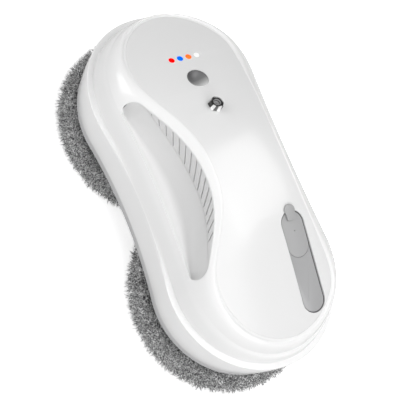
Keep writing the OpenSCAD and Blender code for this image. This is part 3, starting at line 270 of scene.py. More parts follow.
def wheel_ring(r, w, share, height):
    """A ring round both wheels, with a share of the width on the plain side."""
    return ring(-WHEEL_Y - r, WHEEL_Y + r, lambda y: share * half_width(y, r, w),
                lambda y: half_width(y, r, w), height)


def wall_ring(r, w, h):
    """A ring of the wall, which draws in on the plain side and dips at the button tip as it rises."""
    rise = min(1, max(0, (h - PLAIN_LOW) / (LEDGE_H - PLAIN_LOW)))
    return wheel_ring(r, w, 1 - (1 - PLAIN_SHARE) * rise,
                      lambda y: h - LEDGE_DROP * rise * (np.maximum(0, y - WHEEL_Y) / r) ** 2)


def shoulder_ring(r, w, down):
    """A ring along the shoulder line, set down from it."""
    return wheel_ring(r, w, PLAIN_SHARE, lambda y: shoulder(y) - down)


def face_ring(inset, down):
    """A ring round the top face, set in from its edge and down from its surface."""
    lo, hi = -TANK_FACE_Y - TANK_FACE_R, BUTTON_FACE_Y + BUTTON_FACE_R
    squeeze = (hi - lo) / (hi - lo - 2 * inset)

    def at(y):
        return (lo + hi) / 2 + (y - (lo + hi) / 2) * squeeze
    return ring(lo + inset, hi - inset, lambda y: np.maximum(0, face_plain(at(y)) - inset),
                lambda y: np.maximum(0, face_grip(at(y)) - inset), lambda y: crest(y) - down)


def blend_ring(low, high, share):
    """A ring between two others, lifted by the flank's bulge."""
    lift = np.array([0, 0, 4 * FLANK_BULGE * share * (1 - share)])
    return low + (high - low) * share + lift


def rounded(keys):
    """Rings through (ring, radius) keys, each corner rounded by its radius."""
    out = []
    for i, (here, radius) in enumerate(keys):
        if i in (0, len(keys) - 1) or np.all(radius == 0):
            out.append(here)
            continue
        ends = []
        for near in (keys[i - 1][0], keys[i + 1][0]):
            way = near - here
            length = np.linalg.norm(way, axis=1, keepdims=True) + TINY
            ends.append(here + way * np.minimum(radius / length, CORNER_SHARE))
        for s in range(CORNER_STEPS + 1):
            t = s / CORNER_STEPS
            out.append((1 - t) ** 2 * ends[0] + 2 * t * (1 - t) * here + t * t * ends[1])
    return out


# Mesh helpers
def add_object(name, data):
    """A new object of the scene."""
    obj = bpy.data.objects.new(name, data)
    bpy.context.scene.collection.objects.link(obj)
    return obj


def mesh_object(name, verts, faces):
    """A mesh from points in millimetres."""
    mesh = bpy.data.meshes.new(name)
    mesh.from_pydata((np.asarray(verts) * MM).tolist(), [], faces)
    mesh.validate()
    return add_object(name, mesh)


def ring_faces(n, m, tube):
    """Quads of m rings of n points; a tube's last ring joins its first."""
    faces = []
    for j in range(m if tube else m - 1):
        a, d = j * n, ((j + 1) % m) * n
        faces += [(a + i, a + (i + 1) % n, d + (i + 1) % n, d + i) for i in range(n)]
    return faces


def loft(name, rings, tube=False, caps=None, clean=True):
    """A loft of rings. caps is None, "strips" across the width, or "ngon"."""
    n, m = len(rings[0]), len(rings)
    faces = ring_faces(n, m, tube)
    if caps == "strips":
        s = n // 2
        for top, flip in ((0, True), ((m - 1) * n, False)):
            for k in range(s):
                a, b = top + k, top + k + 1
                c, d = top + (n - k - 1) % n, top + (n - k) % n
                quad = [v for i, v in enumerate((a, b, c, d)) if v not in (a, b, c, d)[:i]]
                faces.append(tuple(quad[::-1]) if flip else tuple(quad))
    if caps == "ngon":
        faces += [tuple(range(n))[::-1], tuple((m - 1) * n + i for i in range(n))]
    obj = mesh_object(name, np.concatenate(rings), faces)
    if clean:
        fix_normals(obj)
    return obj


def fix_normals(obj):
    """Welds points that coincide and turns all faces outwards."""
    bm = bmesh.new()
    bm.from_mesh(obj.data)
    bmesh.ops.remove_doubles(bm, verts=bm.verts, dist=1e-7)
    bmesh.ops.recalc_face_normals(bm, faces=bm.faces)
    bm.to_mesh(obj.data)
    bm.free()


def cut(obj, cutter):
    """Takes the cutter out of obj and removes the cutter."""
    mod = obj.modifiers.new("cut", "BOOLEAN")
    mod.operation = "DIFFERENCE"
    mod.solver = "EXACT"
    mod.object = cutter
    bpy.context.view_layer.update()
    done = bpy.data.meshes.new_from_object(obj.evaluated_get(bpy.context.evaluated_depsgraph_get()))
    obj.modifiers.clear()
    obj.data = done
    bpy.data.objects.remove(cutter)


def join(name, objs):
    """One mesh from several, which it removes."""
    bm = bmesh.new()
    for o in objs:
        o.data.transform(o.matrix_world)
        bm.from_mesh(o.data)
        bpy.data.objects.remove(o)
    mesh = bpy.data.meshes.new(name)
    bm.to_mesh(mesh)
    bm.free()
    return add_object(name, mesh)


def prism(name, loop, low, high):
    """A closed loop of plan points from one height to another."""
    return loft(name, [np.column_stack([loop, np.full(len(loop), h)]) for h in (low, high)], caps="ngon")


def lathe(name, profile, n=64, place=Matrix.Identity(4)):
    """A turned solid from (radius, height) points, in millimetres, set at a place."""
    a = np.arange(n) * 2 * np.pi / n
    rings = [np.stack([r * np.cos(a), r * np.sin(a), np.full(n, h)], axis=1) for r, h in profile]
    obj = loft(name, rings, caps="ngon")
    obj.data.transform(place)
    return obj


def on_top(x, y):
    """Place of something set square on the top face, in metres."""
    spot = Matrix.Translation(Vector((x, y, RIM_Z + float(crest(y)))) * MM)
    return spot @ Matrix.Rotation(crest_tilt(y), 4, "X")


WINDOW_MID = -(WINDOW_NEAR + WINDOW_FAR) / 2
WINDOW_TILT = math.atan2(float(crest(-WINDOW_NEAR) - crest(-WINDOW_FAR)), WINDOW_FAR - WINDOW_NEAR)
WINDOW_L = (WINDOW_FAR - WINDOW_NEAR) / math.cos(WINDOW_TILT)
WINDOW_Z = RIM_Z + float(crest(-WINDOW_NEAR) + crest(-WINDOW_FAR)) / 2
PLUG_L = WINDOW_L / 2 - (-PLUG_END - WINDOW_MID) / math.cos(WINDOW_TILT)
PLUG_LOW = WINDOW_L / 2 - PLUG_L
PLUG_MID = PLUG_LOW + PLUG_L / 2


def on_window(x=0.0, y=0.0):
    """Place of something set in the window, counted from its middle."""
    spot = Matrix.Translation(Vector((WINDOW_X, WINDOW_MID, WINDOW_Z)) * MM)
    return spot @ Matrix.Rotation(WINDOW_TILT, 4, "X") @ Matrix.Translation(Vector((x, y, 0)) * MM)


def stadium(inset, length=WINDOW_L, mid=0.0, n=32):
    """Plan points of a slot with round ends."""
    r, reach = WINDOW_R - inset, length / 2 - WINDOW_R
    a = np.linspace(0, np.pi, n)
    far = np.stack([r * np.cos(a), mid + reach + r * np.sin(a)], axis=1)
    near = np.stack([-r * np.cos(a), mid - reach - r * np.sin(a)], axis=1)
    return np.concatenate([far, near])


def in_window(name, loops):
    """A closed solid in the window, through plan loops given as (loop, height)."""
    obj = loft(name, [np.column_stack([loop, np.full(len(loop), h)]) for loop, h in loops], caps="ngon")
    obj.data.transform(on_window())
    return obj


# Materials
GRAIN_DETAIL = 4
# Painted reflection on the nut: dark and light tones by angle round a middle set a little off the socket's axis.
NUT_REFLECTION_SHIFT = 0.6
NUT_PAINTED_REFLECTIONS = ((0, 0.03), (0.035, 0.03), (0.05, 0.95), (0.115, 0.9), (0.125, 0.12), (0.19, 0.16), (0.205, 0.95),
             (0.30, 0.9), (0.315, 0.03), (0.44, 0.05), (0.5, 0.7), (0.7, 0.75), (0.8, 0.1), (0.86, 0.6), (0.93, 0.03))
# Painted shade and reflection on the button: its colour runs from dark to light across the dish.
BUTTON_LIGHT_ALONG, BUTTON_SHADE_SHARE = (0.12, -0.99, 0), 0.9
BUTTON_PAINTED_LIGHT_TONES = ((0, (0.09, 0.09, 0.092)), (0.5, (0.2, 0.2, 0.203)), (0.7, (0.42, 0.42, 0.42)),
                (0.95, (0.85, 0.85, 0.85)))
PILE_CELLS, PILE_TONES = 1400, ((0.25, (0.12, 0.12, 0.123)), (0.75, (0.88, 0.88, 0.88)))

# Key, name, colour, roughness, other inputs, and grain as (size, depth, tint, roughness)
MATERIALS = (
    ("casing", "casing_gloss", (0.80, 0.80, 0.80), 0.24, {"Coat_Weight": 0.35, "Coat_Roughness": 0.12},
     (0.6, 0.012, 0.01, 0.02)),
    ("cover", "cover_gloss", (0.78, 0.78, 0.78), 0.22, {"Coat_Weight": 0.35, "Coat_Roughness": 0.1},
     (0.6, 0.01, 0.01, 0.02)),
    ("lining", "grip_matte", (0.775, 0.775, 0.775), 0.55, {}, (0.35, 0.10, 0.03, 0.05)),
    # Painted shade: the dark grey of the plate behind the louvres stands for the shade seen through the slots.
    ("slot", "slot_back_shade", (0.30, 0.30, 0.31), 0.6, {}, (0.4, 0.08, 0.03)),
    # The base's mid grey is partly the base's own tone and partly painted shade, matched to the shaded band under the
    # casing's edge.
    ("base", "base_grey", (0.46, 0.46, 0.465), 0.42, {}, (0.4, 0.06, 0.02, 0.04)),
    ("steel", "steel", (0.56, 0.56, 0.58), 0.3, {"Metallic": 1.0}, (0.15, 0.05, 0.04, 0.05)),
    ("pin", "pin_steel", (0.42, 0.42, 0.425), 0.25, {"Metallic": 0.3}, (0.15, 0.05, 0.04, 0.05)),
    ("black", "black_plastic", (0.018, 0.018, 0.018), 0.38, {}, (0.3, 0.06, 0.05, 0.05)),
    ("board", "board_green", (0.02, 0.12, 0.05), 0.4, {}, (0.5, 0.05, 0.08, 0.05)),
    ("tank", "tank_plastic", (0.62, 0.64, 0.66), 0.25, {}, (0.5, 0.03, 0.02, 0.03)),
    ("pane", "window_clear", (0.39, 0.39, 0.395), 0.22, {"Coat_Weight": 0.3}, (0.6, 0.02, 0.02, 0.03)),
    ("plug", "plug_silicone", (0.39, 0.39, 0.393), 0.5, {}, (0.25, 0.07, 0.02, 0.04)),
    ("seal", "rubber_dark", (0.13, 0.13, 0.135), 0.5, {}, (0.25, 0.06, 0.04, 0.05)),
    ("hose", "hose_rubber", (0.45, 0.5, 0.52), 0.35, {}, (0.3, 0.05, 0.04, 0.05)),
    ("wheel", "wheel_plastic", (0.55, 0.55, 0.56), 0.4, {}, (0.4, 0.06, 0.02, 0.05)),
    ("nylon", "gear_nylon", (0.78, 0.75, 0.65), 0.4, {}, (0.3, 0.05, 0.03, 0.05)),
    ("dark", "dark_plastic", (0.05, 0.05, 0.055), 0.45, {}, (0.3, 0.06, 0.05, 0.05)),
    ("wrap", "battery_wrap", (0.02, 0.06, 0.22), 0.3, {}, (0.5, 0.03, 0.04, 0.05)),
)

# Key, colour, glow and its strength of the lamps, from left to right
LENSES = (
    ("red", (0.95, 0.0, 0.0), (1, 0, 0), 0.5),
    ("blue", (0.0, 0.13, 0.95), (0, 0.13, 1), 0.5),
    ("orange", (0.95, 0.15, 0.02), (1, 0.16, 0.025), 0.5),
    ("white", (0.9, 0.9, 0.9), (1, 1, 1), 0.12),
)
LENS_ROUGHNESS, LENS_SPECULAR, LENS_GRAIN = 0.5, 0.05, (0.2, 0.02, 0.01)


def shader(name, colour, roughness, **inputs):
    """A material whose other inputs are set by name."""
    mat = bpy.data.materials.new(name)
    mat.use_nodes = True
    bsdf = mat.node_tree.nodes["Principled BSDF"]
    bsdf.inputs["Base Color"].default_value = (*colour, 1)
    bsdf.inputs["Roughness"].default_value = roughness
    for key, value in inputs.items():
        bsdf.inputs[key.replace("_", " ")].default_value = value
    return mat


def add_node(tree, kind, **inputs):
    """A new shader node whose inputs are set by name."""
    node = tree.nodes.new("ShaderNode" + kind)
    for key, value in inputs.items():
        node.inputs[key.replace("_", " ")].default_value = value
    return node


def object_place(tree):
    """The place on the object, in metres."""
    return tree.nodes.new("ShaderNodeTexCoord").outputs["Object"]


def axis_parts(tree, vector):
    """The parts of a vector along the axes."""
    split = tree.nodes.new("ShaderNodeSeparateXYZ")
    tree.links.new(vector, split.inputs[0])
    return split.outputs


def map_range(tree, value, low, high, to_low, to_high):
    """Spreads the range of a value over another range."""
    span = add_node(tree, "MapRange", From_Min=low, From_Max=high, To_Min=to_low, To_Max=to_high)
    tree.links.new(value, span.inputs["Value"])
    return span.outputs["Result"]


def colour_along(mat, value, stops):
    """Colours a material along a value, by (place, colour) stops in rising order."""
    tree = mat.node_tree
    ramp = tree.nodes.new("ShaderNodeValToRGB")
    tree.links.new(value, ramp.inputs["Fac"])
    points = ramp.color_ramp.elements
    for point, (place, colour) in zip(points, (stops[0], stops[-1])):
        point.position = place
        point.color = (*colour, 1)
    for place, colour in stops[1:-1]:
        points.new(place).color = (*colour, 1)
    tree.links.new(ramp.outputs["Color"], tree.nodes["Principled BSDF"].inputs["Base Color"])
    return mat


def grain(mat, size, depth, tint=0.0, rough=0.0):
    """Moulding grain: a fine noise in bump, colour and roughness, its size in millimetres."""
    tree = mat.node_tree
    bsdf = tree.nodes["Principled BSDF"]
    noise = add_node(tree, "TexNoise", Scale=1 / (size * MM), Detail=GRAIN_DETAIL)
    tree.links.new(object_place(tree), noise.inputs["Vector"])
    bump = add_node(tree, "Bump", Strength=depth, Distance=size * MM)
    tree.links.new(noise.outputs["Fac"], bump.inputs["Height"])
    tree.links.new(bump.outputs["Normal"], bsdf.inputs["Normal"])
    if tint:
        base = bsdf.inputs["Base Color"].default_value[:]
        mix = tree.nodes.new("ShaderNodeMix")
        mix.data_type = "RGBA"
        mix.blend_type = "MULTIPLY"
        mix.inputs["Factor"].default_value = 1
        mix.inputs["A"].default_value = base
        tree.links.new(map_range(tree, noise.outputs["Fac"], 0, 1, 1 - tint, 1 + tint), mix.inputs["B"])
        tree.links.new(mix.outputs["Result"], bsdf.inputs["Base Color"])
    if rough:
        base = bsdf.inputs["Roughness"].default_value
        spread = map_range(tree, noise.outputs["Fac"], 0, 1, base - rough, base + rough)
        tree.links.new(spread, bsdf.inputs["Roughness"])
    return mat


def paint_light_by_facing(mat, axis, low, high, dark, light):
    """Painted light: lets the faces that look along an axis come out a little lighter than the rest, as though more
    light fell on them.
    """
    tree = mat.node_tree
    facing = axis_parts(tree, tree.nodes.new("ShaderNodeNewGeometry").outputs["Normal"])[axis]
    mix = next(node for node in tree.nodes if node.type == "MIX")
    tree.links.new(map_range(tree, facing, low, high, dark, light), mix.inputs["A"])


def nut_material():
    """Polished chrome with painted reflections: dark and light tones painted round the nut, standing in for what its
    faces would mirror.
    """
    mat = shader("nut_chrome", (0.8, 0.8, 0.8), 0.18, Metallic=0.4)
    tree = mat.node_tree
    place = axis_parts(tree, object_place(tree))
    away = tree.nodes.new("ShaderNodeMath")
    away.operation = "SUBTRACT"
    away.inputs[1].default_value = (SOCKET_Y + NUT_REFLECTION_SHIFT) * MM
    tree.links.new(place["Y"], away.inputs[0])
    angle = tree.nodes.new("ShaderNodeMath")
    angle.operation = "ARCTAN2"
    tree.links.new(away.outputs[0], angle.inputs[0])
    tree.links.new(place["X"], angle.inputs[1])
    turn = map_range(tree, angle.outputs[0], -math.pi, math.pi, 0, 1)
    return colour_along(mat, turn, [(spot, (tone, tone, tone)) for spot, tone in NUT_PAINTED_REFLECTIONS])


def button_material():
    """Brushed metal with painted shade and reflection: the dish's colour runs from dark on one side to light on the
    other, along a given direction.
    """
    mat = shader("button_metal", (0.4, 0.4, 0.4), 0.38, Metallic=0.25)
    tree = mat.node_tree
    along = tree.nodes.new("ShaderNodeVectorMath")
    along.operation = "DOT_PRODUCT"
    along.inputs[1].default_value = BUTTON_LIGHT_ALONG
    tree.links.new(object_place(tree), along.inputs[0])
    middle = BUTTON_LIGHT_ALONG[1] * BUTTON_Y
    span = map_range(tree, along.outputs["Value"], (middle - BUTTON_R * BUTTON_SHADE_SHARE) * MM,
                     (middle + BUTTON_R) * MM, 0, 1)
    return colour_along(mat, span, BUTTON_PAINTED_LIGHT_TONES)


def pile_material():
    """Grey and white fibres, mixed fibre by fibre."""
    mat = shader("microfibre", (0.5, 0.5, 0.5), 0.9, Sheen_Weight=0.15)
    tree = mat.node_tree
    cells = add_node(tree, "TexVoronoi", Scale=PILE_CELLS)
    tree.links.new(object_place(tree), cells.inputs["Vector"])
    split = tree.nodes.new("ShaderNodeSeparateColor")
    tree.links.new(cells.outputs["Color"], split.inputs["Color"])
    return colour_along(mat, split.outputs["Red"], PILE_TONES)


def make_materials():
    mats = {}
    for key, name, colour, roughness, inputs, texture in MATERIALS:
        mats[key] = grain(shader(name, colour, roughness, **inputs), *texture)
    for key, colour, glow, strength in LENSES:
        lens = shader("lens_" + key, colour, LENS_ROUGHNESS, Specular_IOR_Level=LENS_SPECULAR,
                      Emission_Color=(*glow, 1), Emission_Strength=strength)
        mats[key] = grain(lens, *LENS_GRAIN)
    # Painted light: the casing's faces that look up are coloured lighter than its walls.
    paint_light_by_facing(mats["casing"], "Z", 0.25, 0.6, 0.80, 0.87)
    # Painted light and shade: grip faces turned inwards, towards +x, come out lighter, and those turned outwards,
    # like the louvred wall, darker.
    paint_light_by_facing(mats["lining"], "X", -0.35, 0.25, 0.67, 0.86)
    mats["button"], mats["chrome"], mats["pile"] = button_material(), nut_material(), pile_material()
    return mats


def wear(obj, mat):
    obj.data.materials.clear()
    obj.data.materials.append(mat)


def paint(obj, mat, sharp=35):
    """Gives a piece its material, and smooth shading except at sharp edges."""
    obj.data.shade_smooth()
    obj.data.set_sharp_from_angle(angle=math.radians(sharp))
    wear(obj, mat)


# Casing and cover
def casing(mats):
    """The white shell with its ledge, shoulder and flanks, and the grip's opening cut out of it."""
    out_r, out_w = RIM_R + FLARE, RIM_WAIST + FLARE / 2
    in_r, in_w = out_r - LEDGE_W, out_w - FLARE / 10
    low, top = shoulder_ring(SHOULDER_R, SHOULDER_WAIST, 0), face_ring(0, 0)
    near = np.minimum(1, np.abs(low[:, 1:2]) / LEDGE_SOFT_Y)
    soft = LEDGE_CRISP + LEDGE_SOFT * np.cos(np.pi / 2 * near) ** 2
    skin = SHOULDER_WALL_SHARE * WALL
    keys = [
        (wall_ring(RIM_R - WALL, RIM_WAIST - WALL, BAND_H), 0),
        (wall_ring(RIM_R, RIM_WAIST, BAND_H), RIM_SOFT),
        (wall_ring(RIM_R + RIM_EDGE, RIM_WAIST + RIM_EDGE, BAND_H + RIM_STEP), RIM_EDGE),
        (wall_ring(RIM_R + FLARE * BELLY_SHARE, RIM_WAIST + FLARE * BELLY_WAIST_SHARE, LEDGE_H / 2), BELLY_SOFT),
        (wall_ring(out_r, out_w, LEDGE_H), soft),
        (wall_ring(in_r, in_w, LEDGE_H), soft),
        (blend_ring(wall_ring(in_r, in_w, LEDGE_H), low, 0.5), NECK_SOFT),
        (low, SHOULDER_SOFT),
    ]
    keys += [(blend_ring(low, top, share), 0) for share in FLANK_SHARES]
    keys += [
        (top, FACE_RIM * FACE_RIM_SHARE),
        (face_ring(FACE_RIM, 0), FACE_RIM_SOFT),
        (face_ring(FACE_RIM, COVER_T), 0),
        (face_ring(COVER_SEAT, COVER_T), 0),
        (face_ring(COVER_SEAT, COVER_T + WALL), 0),
        (shoulder_ring(SHOULDER_R - skin, SHOULDER_WAIST - skin, WALL), 0),
        (wall_ring(in_r - WALL, in_w - WALL, LEDGE_H), 0),
        (wall_ring(in_r - WALL, in_w - WALL, LEDGE_H - WALL), 0),
        (wall_ring(out_r - WALL, out_w - WALL, LEDGE_H - LEDGE_WALL_SHARE * WALL), 0),
    ]
    obj = loft("casing", rounded(keys), tube=True)
    cut(obj, prism("grip_cutter", grip_outline(LIP), RIM_Z + SHOULDER_H - SHOULDER_DROP,
                   RIM_Z + RIDGE_H + CUT_OVER))
    cut(obj, brow_pocket())
    obj = join("casing", [obj, grip_lip()])
    paint(obj, mats["casing"])
    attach(obj, "chassis")
    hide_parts("top_shell")


def grip_outline(out=0.0):
    """Plan of the grip's opening, grown by out on its inner side and ends."""
    y = stations(GRIP_MID, GRIP_HALF, GRIP_STATIONS)
    back = y[GRIP_STATIONS - 1:0:-1]
    loop = np.concatenate([np.stack([-grip_inner(y), y], axis=1), np.stack([-grip_outer(back), back], axis=1)])
    step = np.roll(loop, -1, axis=0) - np.roll(loop, 1, axis=0)
    normal = np.stack([step[:, 1], -step[:, 0]], axis=1)
    normal /= np.linalg.norm(normal, axis=1, keepdims=True)
    room = half_width(loop[:, 1], SHOULDER_R, SHOULDER_WAIST) + loop[:, 0]
    room = np.clip(room * OUTLINE_SHARE, OUTLINE_LEAST, 1)
    return loop + normal * out * room[:, None]


def brow_pocket():
    """Room for the louvred wall, cut from below under the inner edge of the grip."""
    y = np.linspace(-GRIP_TANK_Y + POCKET_END, GRIP_TOP_Y - POCKET_END, GRIP_STATIONS)
    near = np.stack([LIP + LOUVRE_ROOM - grip_inner(y), y], axis=1)
    far = np.stack([-grip_inner(y) - LIP, y], axis=1)
    loop = np.concatenate([near, far[::-1]])
    low = np.column_stack([loop, np.full(len(loop), RIM_Z + FOOT_H - FLOOR_DIP)])
    high = np.column_stack([loop, RIM_Z + flank_h(-loop[:, 0], loop[:, 1]) - BROW_SKIN])
    high[:, 2] = np.maximum(high[:, 2], low[:, 2] + POCKET_LEAST)
    return loft("brow_pocket", [low, high], caps="ngon")


def grip_lip():
    """The rounded edge that leads from the flank down into the grip."""
    rings = []
    for s in range(LIP_STEPS + 1):
        a = s / LIP_STEPS * math.pi / 2
        over, sink = (LIP_OVER, LIP_SINK) if s == 0 else (0, 0)
        loop = grip_outline(LIP * (1 - math.sin(a)) + over)
        z = flank_h(-loop[:, 0], loop[:, 1]) - LIP * LIP_SHARE * (1 - math.cos(a)) - sink
        rings.append(np.column_stack([loop, RIM_Z + z]))
    deep = rings[-1].copy()
    deep[:, 2] -= LIP_TAIL
    rings.append(deep)
    return loft("grip_lip", rings)


def band(mats):
    """The base's side below the casing."""
    r, w = RIM_R - BAND_INSET, RIM_WAIST - BAND_INSET
    keys = [
        (wall_ring(r - WALL, w - WALL, BAND_H - BAND_TUCK), 0),
        (wall_ring(r, w, BAND_H - BAND_TUCK), BAND_SOFT),
        (wall_ring(r, w, -BAND_TUCK), 2 * BAND_SOFT),
        (wall_ring(r - BAND_T, w - BAND_T, -BAND_TUCK), 0),
        (wall_ring(r - BAND_T, w - BAND_T, BAND_LIP), 0),
    ]
    obj = loft("base_band", rounded(keys), tube=True)
    paint(obj, mats["base"])
    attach(obj, "chassis")


def lamp_place(i):
    return on_top((i - (len(LENSES) - 1) / 2) * LAMP_PITCH, LAMP_Y)


def cover(mats):
    """The top face as a plate set into the casing, with the holes for the controls and the window."""
    edge = FACE_RIM + FACE_SEAM
    rings = [face_ring(edge, COVER_T - COVER_GAP), face_ring(edge, EDGE_SOFT)]
    for s in range(1, EDGE_STEPS + 1):
        a = s / EDGE_STEPS * math.pi / 2
        rings.append(face_ring(edge + EDGE_SOFT * (1 - math.cos(a)), EDGE_SOFT * (1 - math.sin(a))))
    obj = loft("cover", rings, caps="strips")
    holes = [(LAMP_R + LAMP_GAP, 40, lamp_place(i)) for i in range(len(LENSES))]
    holes += [(BUTTON_R + BUTTON_GAP, 72, on_top(0, BUTTON_Y)), (SOCKET_R + CONTROL_GAP, 48, on_top(0, SOCKET_Y))]
    for r, sides, place in holes:
        cut(obj, lathe("hole", [(r, HOLE_LOW), (r, HOLE_TOP)], sides, place))
    cut(obj, in_window("hole", [(stadium(0), HOLE_LOW), (stadium(0), -HOLE_LOW)]))
    paint(obj, mats["cover"])
    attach(obj, "chassis")
    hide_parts("top_cover")


# Hand grip
def grip_sections():
    return map(float, stations(GRIP_MID, GRIP_HALF - GRIP_END_GAP, SECTIONS))


def lining(mats):
    """The trough of the grip, from the outer edge to the foot of the louvred wall."""
    rings = []
    s = np.linspace(0, 1, ACROSS)
    for y in grip_sections():
        xo, xi = float(grip_outer(y)) - GRIP_GAP, float(grip_inner(y)) + GRIP_GAP
        zo = float(shoulder(y)) - GRIP_GAP * 2
        zf = min(float(foot(y)), float(flank_h(xi, y)) - LIP - LINING_TUCK)
        z = zo + (zf - zo) * s - 4 * FLOOR_DIP * float(grip_round(y)) * s * (1 - s)
        floor = np.stack([(xo - xi) * s - xo, np.full(ACROSS, y), RIM_Z + z], axis=1)
        under = floor[::-1] - np.array([0, 0, GRIP_T])
        rings.append(np.concatenate([floor, under]))
    obj = loft("grip_lining", rings, caps="ngon")
    paint(obj, mats["lining"], 50)
    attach(obj, "chassis")
    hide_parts("grip_insert")


def slot_cutter(y):
    """A leaning slot through the louvred wall, or None where the wall is too low for one."""
    lean = tan(SLOT_LEAN)
    low, high = float(foot(y)), float(flank_h(grip_inner(y), y))
    mid, shift = (low + high) / 2, lean * (high - low) / 2
    z_low = float(foot(y - shift)) + SLOT_MARGIN
    z_high = float(flank_h(grip_inner(y + shift), y + shift)) - LIP - SLOT_TUCK
    if z_high - z_low <= SLOT_W:
        return None
    along = SLOT_W / math.cos(math.radians(SLOT_LEAN)) / 2
    edges = ((z_low, -along), (z_low, along), (z_high, along), (z_high, -along))
    x = -float(grip_inner(y)) - SLOT_REACH
    near = np.array([[x, y + lean * (z - mid) + side, RIM_Z + z] for z, side in edges])
    return loft("slot", [near, near + np.array([2 * SLOT_REACH, 0, 0])], caps="ngon")


def louvres(mats):
    """The louvred wall between the foot and the brow, with its slots and the dark backing, whose grey is painted
    shade seen through the slots.
    """
    rings, back = [], []
    for y in grip_sections():
        x = -float(grip_inner(y))
        top = float(flank_h(-x, y)) - LIP - LOUVRE_TUCK
        low = min(float(foot(y)), top - POCKET_LEAST) - LOUVRE_TUCK
        for group, x0, x1, z1 in ((rings, x, x + LOUVRE_T, top),
                                  (back, x + LOUVRE_T + BACK_GAP, x + LOUVRE_T + BACK_GAP + BACK_T, top - BACK_TUCK)):
            group.append(np.array([[x0, y, RIM_Z + low], [x0, y, RIM_Z + z1], [x1, y, RIM_Z + z1],
                                   [x1, y, RIM_Z + low]]))
    obj = loft("louvre_wall", rings, caps="ngon")
    cutters = [slot_cutter(SLOT_Y + (i - (SLOTS - 1) / 2) * SLOT_PITCH) for i in range(SLOTS)]
    cut(obj, join("slots", [piece for piece in cutters if piece]))
    paint(obj, mats["lining"], 30)
    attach(obj, "chassis")
    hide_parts("grip_insert")
    plate = loft("louvre_back", back, caps="ngon")
    paint(plate, mats["slot"], 30)
    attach(plate, "chassis")


# Tank window and filler plug
def bead():
    """The low round edge that the pane has where the plug's lower end meets it."""
    loops = []
    for s in range(BEAD_STEPS + 1):
        a = s / BEAD_STEPS * math.pi
        inset = SEAL - BEAD_W * math.cos(a) / 2 - BEAD_OUT
        height = -PLUG_SINK - PANE_SINK - BEAD_SINK + BEAD_H * math.sin(a)
        loops.append((stadium(inset, PLUG_L, PLUG_MID), height))
    obj = in_window("bead", loops)
    low = PLUG_LOW + WINDOW_R * HALF_SHARE
    half = np.array([(-HALF_SIDE, low), (HALF_SIDE, low), (HALF_SIDE, WINDOW_L), (-HALF_SIDE, WINDOW_L)])
    cut(obj, in_window("half", [(half, -HALF_DEEP), (half, HALF_DEEP)]))
    return obj


def window(mats):
    """The sunk pane with its soft edge and fold, and the dark seal round it."""
    low, top = -PLUG_SINK - PLUG_T, -PLUG_SINK - PANE_SINK
    loops = [(stadium(SEAL), low)] + [(stadium(SEAL + inset), top + h) for inset, h in PANE_STEPS]
    pane = in_window("window_pane", loops)
    bite = stadium(SEAL - BITE_OVER, PLUG_L, PLUG_MID)
    cut(pane, in_window("bite", [(bite, BITE_LOW), (bite, BITE_TOP)]))
    high_y, low_y = PLUG_LOW - FOLD_NEAR, FOLD_FAR - WINDOW_L / 2
    fold = np.array([(FOLD_LOW_X, low_y), (FOLD_LOW_X - FOLD_W, low_y), (FOLD_HIGH_X - FOLD_W, high_y),
                     (FOLD_HIGH_X, high_y)])
    ridge = in_window("ridge", [(fold, top - FOLD_ROOT), (fold, top + FOLD_H)])
    obj = join("window_pane", [pane, ridge, bead()])
    paint(obj, mats["pane"], 40)
    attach(obj, "chassis")
    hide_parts("tank_window")
    loops = [(stadium(SEAL_STEPS[-1][0]), low), (stadium(SEAL_STEPS[0][0]), low)]
    loops += [(stadium(inset), top + h) for inset, h in SEAL_STEPS]
    seal = in_window("window_seal", loops)
    paint(seal, mats["seal"], 40)
    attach(seal, "chassis")


def pull_tab():
    """The rounded leaf of the pull tab and its neck."""
    w, root, reach = TAB_W / 2, WINDOW_L / 2 - WINDOW_R + TAB_ROOT, WINDOW_L / 2 + TAB_REACH - TAB_W / 2
    a = np.linspace(0, np.pi, 25)

    def leaf(inset):
        end = np.stack([(w - inset) * np.cos(a), reach + (w - inset) * np.sin(a)], axis=1)
        high, mid, low = TAB_HEEL_SHARES
        left = [(inset - w * high, reach - TAB_NECK), (inset - w * mid, root), (-w * low, root - TAB_HEEL + inset)]
        return np.concatenate([end, left, [(-x, y) for x, y in reversed(left)]])
    tab = in_window("tab", [(leaf(inset), h) for inset, h in TAB_STEPS])
    side, low, high = w * NECK_SHARE, root - NECK_LOW, WINDOW_L / 2 - NECK_END
    loop = np.array([(-side, low), (side, low), (side, high), (-side, high)])
    return [tab, in_window("neck", [(loop, -PLUG_SINK - NECK_LOW), (loop, NECK_TOP)])]


def filler(mats):
    """The plug, a stopper with a round lower end, its stem and its pull tab."""
    low, top = -PLUG_SINK - PLUG_T + PLUG_SEAT, -PLUG_SINK

    def lid(inset):
        return stadium(SEAL + inset, PLUG_L - LID_GAP, PLUG_MID)
    loops = [(lid(LID_CHAMFER), low), (lid(0), low + LID_CHAMFER)] + [(lid(inset), top + h) for inset, h in LID_STEPS]
    cap = in_window("filler_plug", loops)
    hole = [(PINHOLE_R, top - PINHOLE_DEEP), (PINHOLE_R, top + PINHOLE_OVER),
            (PINHOLE_R + PINHOLE_FLARE, top + 2 * PINHOLE_OVER)]
    cut(cap, lathe("pinhole", hole, 20, on_window(PINHOLE_X, WINDOW_L / 2 - PINHOLE_DOWN)))
    stem = lathe("stem", [*STEM_RIBS, (STEM_R, low + STEM_SINK)], 48, on_window(0, PLUG_LOW + PLUG_L * STEM_SHARE))
    obj = join("filler_plug", [cap, stem, *pull_tab()])
    paint(obj, mats["plug"], 40)
    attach(obj, "plug")
    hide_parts("filler_plug")


